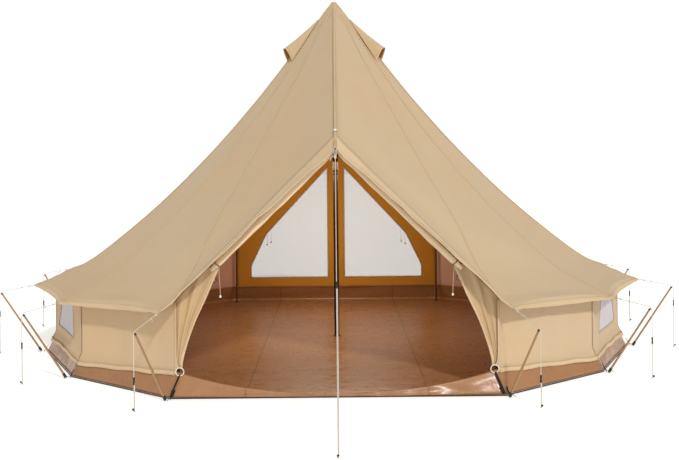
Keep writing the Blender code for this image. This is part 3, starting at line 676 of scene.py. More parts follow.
def roof_relief(point, mark, down):
    """How far the cloth stands off its plain surface; down goes from 0 at the peak to 1 at the hem."""
    _, t, count, over_door = mark
    free = math.sin(math.pi * t)
    relief = noise.noise(point * 1.4) * 0.011 * free ** 0.6
    relief += noise.noise(point * 4.2 + Vector((7.0, 0.0, 0.0))) * 0.004 * free ** 0.6
    relief -= 0.012 * free * math.sin(math.pi * min(1.0, down * 1.05))
    edge = min(t, 1.0 - t) * count
    relief += 0.0022 * math.cos(math.pi * edge) * math.exp(-(edge / 1.6) ** 2) * min(1.0, down * 4.0)
    pull = math.exp(-((1.0 - down) / 0.16) ** 2)
    near_tip = math.exp(-(min(t, 1.0 - t) / 0.13) ** 2)
    relief += 0.010 * pull * near_tip * math.sin(min(t, 1.0 - t) * 75.0)
    if down > 0.72:
        wave = noise.noise(Vector((point.x * 6.0, point.y * 6.0, 2.0)))
        relief += 0.008 * wave * free ** 0.5 * (down - 0.72) / 0.28
    if over_door and down > 0.84:
        crease = noise.noise(Vector((point.x * 9.0 + point.y * 3.0, point.z * 9.0, 6.0)))
        relief += 0.009 * crease * (down - 0.84) / 0.16
    return relief


def make_roof():
    grid, marks = roof_grid()
    normals = grid_normals(grid, True)
    rows, cols = grid.shape[:2]
    relief = np.zeros((rows, cols, 1))
    for c in range(cols):
        for r in range(rows):
            relief[r, c, 0] = roof_relief(Vector(grid[r, c]), marks[c], r / (rows - 1.0))
    shaped = grid + normals * relief
    shaped[0] = grid[0]
    shaped[1] = 0.5 * (shaped[0] + shaped[2]) + normals[1] * 0.002
    points = [tuple(point) for row in shaped for point in row]
    faces, uvs = [], []
    down = np.concatenate([[0.0], np.cumsum(np.linalg.norm(np.diff(grid[:, 0], axis=0), axis=1))])
    for r in range(rows - 1):
        for c in range(cols):
            number, t, count, _ = marks[c]
            nxt = (c + 1) % cols
            faces.append((r * cols + c, (r + 1) * cols + c, (r + 1) * cols + nxt, r * cols + nxt))
            start = c - int(round(t * count))
            for rr, tt in ((r, t), (r + 1, t), (r + 1, t + 1.0 / count), (r, t + 1.0 / count)):
                width = np.linalg.norm(grid[rr, (start + count) % cols] - grid[rr, start])
                uvs.append(((tt - 0.5) * width + number * 2.0, down[rr]))
    faces.append(tuple(range(cols)))
    uvs += [(0.0, 0.0)] * cols
    roof = piece_from("roof_canvas", points, faces, uvs, ["canvas", "canvas_inside_backlit_shade"], TENT, ["roof_canopy"])
    thicken(roof, inside=1)
    return shaped, marks


def strip_on(surface, normals, width, lift):
    """Rows of a raised strip that follows a line of surface points: two skirts and a flat top."""
    rows = []
    for index, (point, normal) in enumerate(zip(surface, normals)):
        ahead = surface[min(index + 1, len(surface) - 1)]
        behind = surface[max(index - 1, 0)]
        along = (ahead - behind).normalized()
        across = along.cross(normal).normalized() * (width / 2.0)
        rows.append([point - across - normal * 0.002, point - across * 0.96 + normal * lift,
                     point + normal * lift * 1.3, point + across * 0.96 + normal * lift,
                     point + across - normal * 0.002])
    return rows


def panel_starts(marks):
    """Columns that lie on a seam, each the first of a roof panel."""
    return [column for column, mark in enumerate(marks) if mark[1] == 0.0]


def make_roof_seams(shaped, marks):
    """Felled seams down the fourteen lines, and the hems round the eaves and doors."""
    normals = grid_normals(shaped, True)
    rows, cols = shaped.shape[:2]
    seams, hems = Builder(), Builder()
    place = (0.0, 0.08, 0.5, 0.92, 1.0)
    for c in panel_starts(marks):
        line = [Vector(shaped[r, c]) for r in range(2, rows)]
        lean = [Vector(normals[r, c]) for r in range(2, rows)]
        length = np.concatenate([[0.0], np.cumsum([(b - a).length for a, b in zip(line, line[1:])])])
        strip = strip_on(line, lean, 0.020, 0.0018)
        seams.grid(strip, False, lambda r, k: (length[r], place[k]))
    seams.build("roof_seams", ["seam"])
    last = rows - 1
    edge_rows = {True: last - 5, False: last - 3}
    for first in panel_starts(marks):
        _, _, count, over_door = marks[first]
        strip, along = [], [0.0]
        for step in range(count + 1):
            c = (first + step) % cols
            top, low = Vector(shaped[edge_rows[over_door], c]), Vector(shaped[last, c])
            out = Vector(normals[last - 2, c])
            fall = (low - top).normalized()
            strip.append([top + out * 0.0004, top.lerp(low, 0.06) + out * 0.0026,
                          top.lerp(low, 0.5) + out * 0.0034, top.lerp(low, 0.94) + out * 0.0026,
                          low + fall * 0.002, low - out * 0.0045 + fall * 0.001,
                          top.lerp(low, 0.45) - out * 0.0042])
            if step:
                along.append(along[-1] + (low - Vector(shaped[last, (first + step - 1) % cols])).length)
        across = (0.0, 0.06, 0.5, 0.94, 1.0, 0.94, 0.5)
        hems.grid([row[::-1] for row in strip], False, lambda r, k: (along[r], across[::-1][k]))
    hems.build("roof_hems", ["hem"])
    bands = Builder()
    for first in panel_starts(marks):
        _, _, count, over_door = marks[first]
        if not over_door:
            continue
        strip, along = [], [0.0]
        for step in range(count + 1):
            c = (first + step) % cols
            line = []
            for index, r in enumerate(range(BAND_ROW, last - 3)):
                out = Vector(normals[r, c])
                pucker = 0.0022 * noise.noise(Vector((shaped[r, c][0] * 22.0, shaped[r, c][2] * 22.0, 1.0)))
                line.append(Vector(shaped[r, c]) + out * ((0.0003 if index == 0 else 0.0030) + pucker))
            strip.append(line[::-1])
            if step:
                along.append(along[-1] + (strip[-1][0] - strip[-2][0]).length)
        across = [1.0 - index / (len(strip[0]) - 1.0) for index in range(len(strip[0]))]
        bands.grid(strip, False, lambda r, k: (along[r], across[k]))
    bands.build("door_hem_bands", ["band"])


def roof_heights(shaped):
    """Function from x and y to the height of the roof's cloth."""
    rows, cols = shaped.shape[:2]
    faces = [(r * cols + c, (r + 1) * cols + c, (r + 1) * cols + (c + 1) % cols, r * cols + (c + 1) % cols)
             for r in range(rows - 1) for c in range(cols)]
    tree = BVHTree.FromPolygons([tuple(point) for row in shaped for point in row], faces)

    def height(x, y):
        return tree.ray_cast(Vector((x, y, 2.0 * PEAK_HEIGHT)), -UP)[0].z

    return height


def make_hood(side, height):
    """Vent hood with a stitched mouth over a seam, and the netting vent under it."""
    outward = direction(HOOD_CORNER, side)
    across = crosswise(outward)

    def over_roof(reach, offset, rise):
        point = outward * reach + across * offset
        point.z = height(point.x, point.y) + rise
        return point

    start = over_roof(HOOD_START, 0.0, 0.004)
    first_foot = over_roof(HOOD_MOUTH, -HOOD_HALF_WIDTH, 0.005)
    second_foot = over_roof(HOOD_MOUTH, HOOD_HALF_WIDTH, 0.005)
    tip = over_roof(HOOD_TIP, 0.0, HOOD_TIP_RISE)
    rows = []
    count, columns = 16, 24
    for row in range(count + 1):
        share = 0.05 + 0.95 * row / count
        near, far = start.lerp(first_foot, share), start.lerp(second_foot, share)
        crown = 2.0 * start.lerp(tip, share) - 0.5 * (near + far)
        line = []
        for column in range(columns + 1):
            t = column / columns
            point = near.lerp(crown, t).lerp(crown.lerp(far, t), t)
            belly = 0.016 * math.sin(2.0 * math.pi * t) ** 2 * share
            outside = across * (1.0 if t > 0.5 else -1.0) + UP * 0.5
            flutter = 0.005 * noise.noise(Vector((t * 5.0, share * 3.0, side * 2.0))) * share
            sag = 0.010 * math.sin(math.pi * share)
            line.append(point + outside * belly + UP * (flutter - sag * math.sin(math.pi * t)))
        rows.append(line)
    name = "vent_hood_fabric_" + SIDE_NAMES[side]
    hood = Builder().grid(rows, False, lambda r, c: (c * 0.012, r * 0.025)).build(
        name, ["canvas", "canvas_inside_backlit_shade"], TENT, ["vent_hood_" + SIDE_NAMES[side]])
    thicken(hood, inside=1, offset=1.0)
    hem = Builder()
    lean = [(outward * 0.45 + UP).normalized()] * (columns + 1)
    hem.band(rows[-1], [outward * -0.008 + UP * 0.004] * (columns + 1), 0.0022, lean)
    for edge, sign in ((0, -1.0), (columns, 1.0)):
        line = [row[edge] + UP * 0.001 for row in rows]
        lean = outward * 0.6 + UP * 0.7 + across * sign * 0.2
        hem.band(line, [across * 0.007] * len(line), 0.0016, [lean] * len(line))
    hem.build("vent_hood_hem_" + SIDE_NAMES[side], ["hem"])
    vent = []
    for row in range(9):
        reach = 0.18 + 0.021 * row
        half = 0.012 + 0.009 * row
        vent.append([over_roof(reach, half * (k / 5.0 - 1.0), 0.0030) for k in range(11)])
    net = Builder().grid(vent, False, lambda r, c: (c * 0.016, r * 0.03)).build(
        "vent_netting_" + SIDE_NAMES[side], ["vent_net"])
    thicken(net, 0.0008)


def make_peak_patch(shaped):
    """Doubled canvas patch round the peak, with a stitched edge."""
    normals = grid_normals(shaped, True)
    rows = 5
    lifted = []
    for r in range(rows):
        out = 0.0022 if r < rows - 1 else -0.0006
        lifted.append([Vector(shaped[r, c]) + Vector(normals[max(r, 1), c]) * out
                       for c in range(shaped.shape[1])])
    lifted[0] = [Vector((point.x, point.y, PEAK_HEIGHT + 0.002)) for point in lifted[0]]
    cap = Builder()
    cap.grid(lifted, True, lambda r, c: (c * 0.006, (0.0, 0.25, 0.5, 0.86, 1.0)[r]))
    cap.fan((0.0, 0.0, PEAK_HEIGHT + 0.004), 0, shaped.shape[1], (0.0, 0.5))
    cap.build("peak_patch", ["seam"])


def make_grommet(door):
    """Steel eyelet and white bead round the spike of a door frame."""
    low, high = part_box(DOOR_NAMES[door] + "_frame_connector")
    y = 0.5 * (low.y + high.y)
    share = (abs(y) - PEAK_RADIUS) / (DOOR_APEX_REACH - PEAK_RADIUS)
    z = PEAK_HEIGHT + (DOOR_APEX_HEIGHT - PEAK_HEIGHT) * share
    slope = Vector((0.0, door * (PEAK_HEIGHT - DOOR_APEX_HEIGHT), DOOR_APEX_REACH - PEAK_RADIUS)).normalized()
    centre = Vector((0.0, y, z))
    ring = Builder().turned(((0.0, 0.006), (0.0, 0.015), (0.002, 0.016), (0.004, 0.013), (0.0045, 0.008),
                             (0.003, 0.0062)), centre, slope, 28)
    ring.build(DOOR_NAMES[door] + "_eyelet", ["steel"])
    bead = Builder().turned(((0.006, 0.0045), (0.007, 0.009), (0.012, 0.0115), (0.018, 0.0105), (0.022, 0.006)),
                            centre, UP, 24)
    bead.build(DOOR_NAMES[door] + "_spike_bead", ["white"])


# ---- Walls -----------------------------------------------------------------------------------------
WINDOW_SIDES = (1, 4)
WINDOW_OUTLINE = ((0.25, 0.232), (0.89, 0.232), (0.735, 0.590), (0.39, 0.590))
WALL_COLUMNS = 44
WALL_ROWS = 26
WALL_FLAT_TOP = 0.61    # top of a panel with a window, before it follows the eave


def rounded_outline(corners, radius, per_corner, per_side):
    """Points round a polygon with its corners rounded."""
    outline = []
    count = len(corners)
    for index in range(count):
        before, here, after = (Vector(corners[(index + k) % count]) for k in (-1, 0, 1))
        entry = here + (before - here).normalized() * radius
        leave = here + (after - here).normalized() * radius
        for step in range(per_corner + 1):
            t = step / per_corner
            outline.append(entry.lerp(here, t).lerp(here.lerp(leave, t), t))
        far = after + (here - after).normalized() * radius
        for step in range(1, per_side):
            outline.append(leave.lerp(far, step / per_side))
    return outline


def matched(outline, low, high):
    """For each outline point, the point of the surrounding rectangle on the same ray from the middle."""
    middle = sum((Vector(point) for point in outline), Vector((0.0, 0.0))) / len(outline)
    found = []
    for point in outline:
        ray = Vector(point) - middle
        reach = 1e9
        if abs(ray.x) > 1e-9:
            reach = min(reach, ((high[0] if ray.x > 0 else low[0]) - middle.x) / ray.x)
        if abs(ray.y) > 1e-9:
            reach = min(reach, ((high[1] if ray.y > 0 else low[1]) - middle.y) / ray.y)
        found.append(middle + ray * reach)
    for corner in ((low[0], low[1]), (high[0], low[1]), (high[0], high[1]), (low[0], high[1])):
        nearest = min(range(len(found)), key=lambda k: (found[k] - Vector(corner)).length)
        found[nearest] = Vector(corner)
    return found


def skirt_flare(z):
    """How far the foot of the walls' cloth stands out over the tray at a height."""
    return max(0.0, TRAY_WALL + 0.006 - z) / TRAY_WALL * (FLOOR_RADIUS - WALL_RADIUS) * 1.1


def rim_widths(line, out, width):
    """Half widths, in the cloth's plane, of a band round a closed line."""
    count = len(line) - 1
    widths = []
    for k in range(len(line)):
        along = (line[(k + 1) % count] - line[k - 1 if k else count - 1]).normalized()
        widths.append(along.cross(out).normalized() * width)
    return widths


def wall_place(panel, side):
    """Functions for a wall side: (share along it, height) to a point, its top and its foot; then its width."""
    first = corner_point(panel, side, WALL_RADIUS * WALL_FACE, 0.0)
    second = corner_point(panel + 1, side, WALL_RADIUS * WALL_FACE, 0.0)
    outward = (first + second).normalized()
    width = (second - first).length

    def foot(t):
        along = panel + t
        near_door = max(0.0, 1.0 - min(along, FLANK_SIDES - along) / 0.9)
        sag = 0.012 * math.sin(math.pi * t) + 0.003 * math.sin(19.0 * t + panel)
        return SKIRT_FOOT + sag + (CANVAS_FOOT - SKIRT_FOOT - 0.004) * near_door ** 1.6

    def top(t):
        return eave_height(panel) + (eave_height(panel + 1) - eave_height(panel)) * t - 0.006

    def place(t, z):
        free = math.sin(math.pi * min(1.0, max(0.0, t)))
        rise = max(0.0, (z - CANVAS_FOOT) / (top(t) - CANVAS_FOOT))
        point = first.lerp(second, t) * (1.0 + skirt_flare(z) / WALL_RADIUS)
        seed = Vector((panel * 3.1 + side, t * width * 3.0, z * 2.2))
        relief = 0.012 * noise.noise(seed) * free
        ripple = math.sin((t * 9.0 + 0.8 * noise.noise(seed * 0.7)) * math.pi)
        relief += 0.004 * ripple * free * (0.35 + 0.65 * rise)
        relief -= 0.010 * free * math.sin(math.pi * min(1.0, rise))
        tucks = noise.noise(Vector((t * width * 16.0 + z * 5.0, z * 7.0, panel * 2.0 + side)))
        relief += 0.0055 * tucks * free ** 0.5 * max(0.0, rise - 0.35)
        relief -= 0.0030 * math.exp(-((z - foot(t) - 0.033) / 0.004) ** 2)
        return point + outward * relief + UP * z

    return place, top, foot, width


def make_wall_panel(panel, side, wall, net, frames):
    """One straight side of the wall, with a window in two of them."""
    place, top, foot, width = wall_place(panel, side)
    flip = side < 0
    if panel not in WINDOW_SIDES:
        rows = []
        for row in range(WALL_ROWS + 1):
            line = []
            for column in range(WALL_COLUMNS + 1):
                t = column / WALL_COLUMNS
                line.append(place(t, foot(t) + (top(t) - foot(t)) * (1.0 - row / WALL_ROWS)))
            rows.append(line[::-1] if flip else line)
        wall.grid(rows, False, lambda r, c: (c / WALL_COLUMNS * width, r * 0.021))
        return
    low, high = (0.0, CANVAS_FOOT), (1.0, WALL_FLAT_TOP)
    corners = WINDOW_OUTLINE
    if panel != WINDOW_SIDES[0]:
        corners = [(1.0 - x, z) for x, z in WINDOW_OUTLINE[::-1]]
        corners = corners[2:] + corners[:2]
    outline = rounded_outline(corners, 0.045, 5, 26)
    outer = matched(outline, low, high)
    rings = 9
    rows = []
    for ring in range(rings + 1):
        share = ring / rings
        line = []
        for a, b in zip(outer, outline):
            point = Vector(a).lerp(Vector(b), share)
            height = point.y
            if share < 1.0 and a.y > 0.6:
                height = point.y + (top(point.x) - WALL_FLAT_TOP) * (1.0 - share)
            elif share < 1.0 and a.y < CANVAS_FOOT + 0.001:
                height = point.y + (foot(point.x) - CANVAS_FOOT) * (1.0 - share)
            line.append(place(point.x, height))
        rows.append(line if flip else line[::-1])
    wall.grid(rows, True, lambda r, c: (c * 0.02, r * 0.02))
    middle = sum(outline, Vector((0.0, 0.0))) / len(outline)
    out = panel_direction(panel, side)
    fill = []
    for ring in range(8):
        share = 1.0 - ring / 8.0
        line = []
        for point in outline:
            inner = middle.lerp(point, share)
            sag = 0.010 * (1.0 - share ** 2)
            line.append(place(inner.x, inner.y) - out * (0.001 + sag))
        fill.append(line if flip else line[::-1])
    net.grid(fill, True, lambda r, c: fill_uv(fill, r, c))
    count = len(outline)
    net.fan(sum(fill[-1], Vector()) / count, len(net.points) - count, count, reverse=True)
    line = rows[-1] + [rows[-1][0]]
    frames.band(line, rim_widths(line, out, 0.008), 0.0018, [out] * len(line))


def fill_uv(fill, r, c):
    point = Vector(fill[min(r, len(fill) - 1)][c % len(fill[0])])
    return (math.atan2(point.y, point.x) * WALL_RADIUS, point.z)


def make_wall(side):
    """Canvas wall of one flank with its windows, hem and corner seams."""
    wall, net, frames, hem = Builder(), Builder(), Builder(), Builder()
    for panel in range(FLANK_SIDES):
        make_wall_panel(panel, side, wall, net, frames)
        place, _, foot, _ = wall_place(panel, side)
        outward = panel_direction(panel, side)
        line = [place(c / 30.0, foot(c / 30.0) + 0.014 + 0.002 * noise.noise(Vector((c * 0.5, panel, side))))
                for c in range(31)]
        hem.band(line, [UP * 0.0155] * len(line), 0.0028, [outward] * len(line))
    item = wall.build("wall_canvas_" + SIDE_NAMES[side], ["canvas", "wall_inside_backlit_shade"], TENT,
                      ["wall_" + SIDE_NAMES[side]])
    thicken(item, inside=1)
    netting = net.build("window_netting_" + SIDE_NAMES[side], ["window_net", "window_net_inside_shade"])
    thicken(netting, 0.0008, inside=1)
    frames.build("window_hems_" + SIDE_NAMES[side], ["seam"])
    hem.build("wall_hem_" + SIDE_NAMES[side], ["hem"])
    seams = Builder()
    for corner in range(FLANK_SIDES + 1):
        out = direction(corner, side)
        across = crosswise(out) * 0.008
        high = eave_height(corner) - 0.008
        low = CANVAS_FOOT if is_door_corner(corner) else SKIRT_FOOT
        line = []
        for k in range(13):
            z = low + (high - low) * k / 12.0
            line.append(corner_point(corner, side, WALL_RADIUS * WALL_FACE + 0.0008 + skirt_flare(z), z))
        seams.band(line, [across] * 13, 0.0018, [out] * 13)
    seams.build("wall_seams_" + SIDE_NAMES[side], ["seam"])


# ---- Groundsheet -----------------------------------------------------------------------------------

def tray_rim():
    """Base points of the tray's edge, counter-clockwise, with the height of its wall there."""
    rim = []
    corners = [(0, -1)] + [(corner, 1) for corner in range(FLANK_SIDES + 1)]
    corners += [(corner, -1) for corner in range(FLANK_SIDES, 0, -1)]
    per_side = 20
    for index, (corner, side) in enumerate(corners):
        here = corner_point(corner, side, FLOOR_RADIUS, 0.0)
        nxt = corners[(index + 1) % len(corners)]
        there = corner_point(nxt[0], nxt[1], FLOOR_RADIUS, 0.0)
        count = 3 * per_side if index == 0 else per_side
        for step in range(count):
            t = step / count
            height = TRAY_WALL
            if index == 0:
                height = TRAY_LIP + (TRAY_WALL - TRAY_LIP) * abs(2.0 * t - 1.0) ** LIP_POWER
            rim.append((here.lerp(there, t), height, index == 0))
    return rim


def floor_relief(x, y):
    """Shallow creases of the floor, strongest behind the front lip."""
    near = math.exp(-((y + 2.0) / 0.55) ** 2)
    crease = abs(noise.noise(Vector((x * 2.6 + y * 0.5, y * 4.5, 3.0))))
    fine = abs(noise.noise(Vector((x * 5.0 - y * 3.0, y * 9.0, 8.0))))
    return 0.0026 * crease + near * (0.012 * (0.5 - crease) ** 2 * 4.0 * 0.5 + 0.004 * fine)


def make_groundsheet():
    rim = tray_rim()
    floor_rings, rows = 34, []
    for ring in range(1, floor_rings + 1):
        share = (ring / floor_rings) ** 0.8 * 0.985
        line = []
        for point, _, _ in rim:
            base = point * share
            edge = min(1.0, (1.0 - share) * 30.0)
            line.append(base + UP * (0.0035 + floor_relief(base.x, base.y) * edge))
        rows.append(line)
    lean = 1.0 - WALL_RADIUS / FLOOR_RADIUS
    wall_shares = (0.03, 0.18, 0.34, 0.5, 0.66, 0.82, 0.94, 1.0)
    for share in wall_shares:
        line = []
        for point, height, front in rim:
            rise = height * share
            inset = lean * min(1.0, rise / TRAY_WALL)
            wave = noise.noise(Vector((point.x * 3.0, point.y * 3.0, share * 1.5))) * math.sin(math.pi * share)
            sag = 0.010 * wave
            if front:
                slack = noise.noise(Vector((point.x * 7.0, 5.0, share * 2.0)))
                sag += math.sin(math.pi * share) * 0.012 * slack
            out = Vector((point.x, point.y, 0.0)).normalized()
            line.append(point * (1.0 - inset - 0.0008) + out * (sag - 0.002) + UP * (0.0035 + rise * 0.98))
        rows.append(line)
    sheet = Builder()
    sheet.grid([row[::-1] for row in rows], True, lambda r, c: (c * 0.05, r * 0.05))
    sheet.fan((0.0, 0.0, 0.0038), 0, len(rim))
    item = sheet.build("groundsheet_vinyl", ["vinyl"], TENT, ["groundsheet"])
    thicken(item, 0.0016)
    welt = Builder()
    outline = [point * 0.9995 + UP * 0.0045 for point, _, _ in rim]
    welt.tube(outline + [outline[0], outline[1]], 0.0042, 8)
    welt.build("groundsheet_base_welt", ["black"])


# ---- Doors -----------------------------------------------------------------------------------------

ZIP_TEETH = 110
ZIP_PITCH = 0.0125
TIE_X = 0.829           # tie of the rolled front flap, from the middle of the door
ROLL_END = 0.872
CURTAIN_START = 0.800   # top inner corner of the gathered part of the flap
CURTAIN_RISE = 0.28     # share of its width over which its top climbs to the roof


def hinge_line(joint_name):
    """Start and slope of a door's slanted top edge, from its joint."""
    joint = next(item for item in frame["joints"] if item["name"] == joint_name)
    axis = joint["axis"]
    return Vector(joint["pos_m"]), -abs(axis[2] / axis[0])


def make_back_door(side):
    """Back door half: canvas border round a netting field, golden inside where light comes through."""
    name = SIDE_NAMES[side]
    pivot, slope = hinge_line("back_door_%s_swing" % name)
    outer = DOOR_CORNER_X - 0.001
    y = pivot.y

    def place(x, z, lift=0.0):
        soft = 0.006 * noise.noise(Vector((x * 3.0 + side * 5.0, z * 3.0, 4.0)))
        return Vector((side * x, y + soft + lift, z))

    frame_corners = [(0.008, CANVAS_FOOT), (outer, CANVAS_FOOT), (outer, pivot.z + slope * outer),
                     (0.008, pivot.z + slope * 0.008)]
    opening = [(0.090, 0.262), (0.946, 0.262), (0.946, 0.392), (0.777, 0.744), (0.090, 1.483)]
    outline = rounded_outline(opening, 0.018, 5, 22)
    count = len(outline)
    middle = Vector((0.42, 0.62))
    outside = []
    for point in outline:
        ray = (point - middle).normalized()
        best = 1e9
        for index in range(4):
            a, b = Vector(frame_corners[index]), Vector(frame_corners[(index + 1) % 4])
            edge = b - a
            cross = ray.x * edge.y - ray.y * edge.x
            if abs(cross) > 1e-9:
                gap = a - middle
                reach = (gap.x * edge.y - gap.y * edge.x) / cross
                along = (gap.x * ray.y - gap.y * ray.x) / cross
                if reach > 0.0 and -1e-6 <= along <= 1.0 + 1e-6:
                    best = min(best, reach)
        outside.append(middle + ray * best)
    for corner in frame_corners:
        nearest = min(range(count), key=lambda k: (outside[k] - Vector(corner)).length)
        outside[nearest] = Vector(corner)
    rows = []
    for ring in range(8):
        share = ring / 7.0
        line = [place(*outside[k].lerp(outline[k], share)) for k in range(count)]
        rows.append(line if side > 0 else line[::-1])
    body = "back_door_" + name
    border = Builder().grid(rows, True, lambda r, c: (rows[r][c % count].x, rows[r][c % count].z)).build(
        "back_door_border_" + name, ["canvas", "door_inside_backlit_glow"], None, ["back_door_" + name])
    thicken(border, inside=1)
    centre = sum(outline, Vector((0.0, 0.0))) / count
    fill = []
    for ring in range(10):
        share = 1.0 - ring / 10.0
        line = [place(*centre.lerp(point, share), -0.001) for point in outline]
        fill.append(line if side < 0 else line[::-1])
    net = Builder().grid(fill, True, lambda r, c: (fill[r][c % count].x, fill[r][c % count].z))
    net.fan(place(centre.x, centre.y, -0.001), len(net.points) - count, count, (centre.x, centre.y), True)
    netting = net.build("back_door_netting_" + name, ["door_net"], None)
    thicken(netting, 0.0008)
    trim = Builder()
    for face, paint in ((1.0, 0), (-1.0, 1)):
        normal = Vector((0.0, face, 0.0))
        line = [place(*point, face * 0.0012) for point in outline + outline[:1]]
        trim.band(line, rim_widths(line, Vector((0.0, 1.0, 0.0)), 0.007), 0.0012, [normal] * len(line), paint)
        edge = [place(0.018, CANVAS_FOOT + 0.01 + k * 0.05, face * 0.0012) for k in range(30)]
        trim.band(edge, [Vector((0.010, 0.0, 0.0))] * len(edge), 0.0014, [normal] * len(edge), paint)
        foot = [place(0.02 + k * (outer - 0.03) / 20.0, CANVAS_FOOT + 0.012, face * 0.0012) for k in range(21)]
        trim.band(foot, [Vector((0.0, 0.0, 0.011))] * len(foot), 0.0014, [normal] * len(foot), paint)
    # Painted highlight: a pale tube round the netting's edge, standing for the edge catching light from behind.
    highlight_edge = [place(*point, -0.0034) for point in outline]
    trim.tube(highlight_edge + [highlight_edge[0]], 0.0026, 6, slot=2)
    trimming = trim.build("back_door_trim_" + name, ["hem", "hem_inside_shade", "net_edge_highlight"], None)
    for item in (border, netting, trimming):
        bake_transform(settle(item))
    teeth = Builder()
    for k in range(ZIP_TEETH):
        z = CANVAS_FOOT + 0.035 + k * ZIP_PITCH
        x = 0.0055 if (k % 2 == 0) == (side > 0) else 0.0042
        teeth.turned(((0.0, 0.0012), (0.0006, 0.0022), (0.0042, 0.0022), (0.0048, 0.0012)),
                     (side * (x + 0.0028), y, z), (-side, 0.0, 0.0), 6)
    teeth.build("back_door_zip_teeth_" + name, ["white"], body)
    for index, (x, reach) in enumerate(((0.758, 0.135), (0.715, 0.155))):
        top = place(x, 0.768 + 1.06 * (0.758 - x), -0.014)
        line = smooth_curve([top, top + Vector((side * 0.004, -0.006, -0.03)),
                             top + Vector((side * 0.002, -0.004, -reach * 0.6)),
                             top + Vector((side * 0.006, -0.002, -reach))], 0.006)
        cord = Builder().tube(line, 0.0014, 8, ROPE_TWIST, 3, 0.12).build(
            "door_tie_cord_%s_%d" % (name, index + 1), ["rope"], body)
        bead = Builder().turned(((0.0, 0.002), (0.002, 0.0055), (0.008, 0.007), (0.014, 0.005), (0.016, 0.002)),
                                line[-1] + Vector((0.0, 0.0, 0.004)), (0.0, 0.0, -1.0), 16)
        bead_item = bead.build("door_tie_bead_%s_%d" % (name, index + 1), ["black"], body)
        tuple(line[0])
        path_length(line)
        [tuple(point) for point in line]


def make_zip_slider():
    """Zip slider with its pull cord, on the inside of the back door."""
    low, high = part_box("back_door_zip_slider")
    middle = 0.5 * (low + high)
    body = Builder()
    rows = []
    profile = ((0.0, 0.55, 0.7), (0.08, 0.75, 1.0), (0.45, 0.72, 1.0), (0.75, 1.0, 1.0), (0.95, 0.95, 0.9),
               (1.0, 0.7, 0.6))
    for t, wide, deep in profile:
        ring = []
        for step in range(16):
            angle = 2.0 * math.pi * step / 16
            x = math.copysign(abs(math.cos(angle)) ** 0.5, math.cos(angle)) * 0.007 * wide
            y = math.copysign(abs(math.sin(angle)) ** 0.5, math.sin(angle)) * 0.0026 * deep
            ring.append(Vector((x, middle.y + y, low.z + (high.z - low.z) * t)))
        rows.append(ring[::-1])
    body.grid(rows, True, cap=True)
    body.tube(smooth_curve([(0.0, middle.y - 0.003, high.z - 0.006), (0.0, middle.y - 0.008, high.z - 0.010),
                            (0.001, middle.y - 0.008, low.z + 0.004), (0.003, middle.y - 0.009, low.z - 0.020),
                            (0.002, middle.y - 0.009, low.z - 0.038)], 0.004), 0.0016, 8)
    body.turned(((0.0, 0.002), (0.002, 0.006), (0.010, 0.0075), (0.018, 0.006), (0.020, 0.002)),
                (0.002, middle.y - 0.009, low.z - 0.034), (0.0, 0.0, -1.0), 16)
    body.build("zip_slider_and_pull", ["white"], "back_door_zip_slider", ["back_door_zip_slider"])


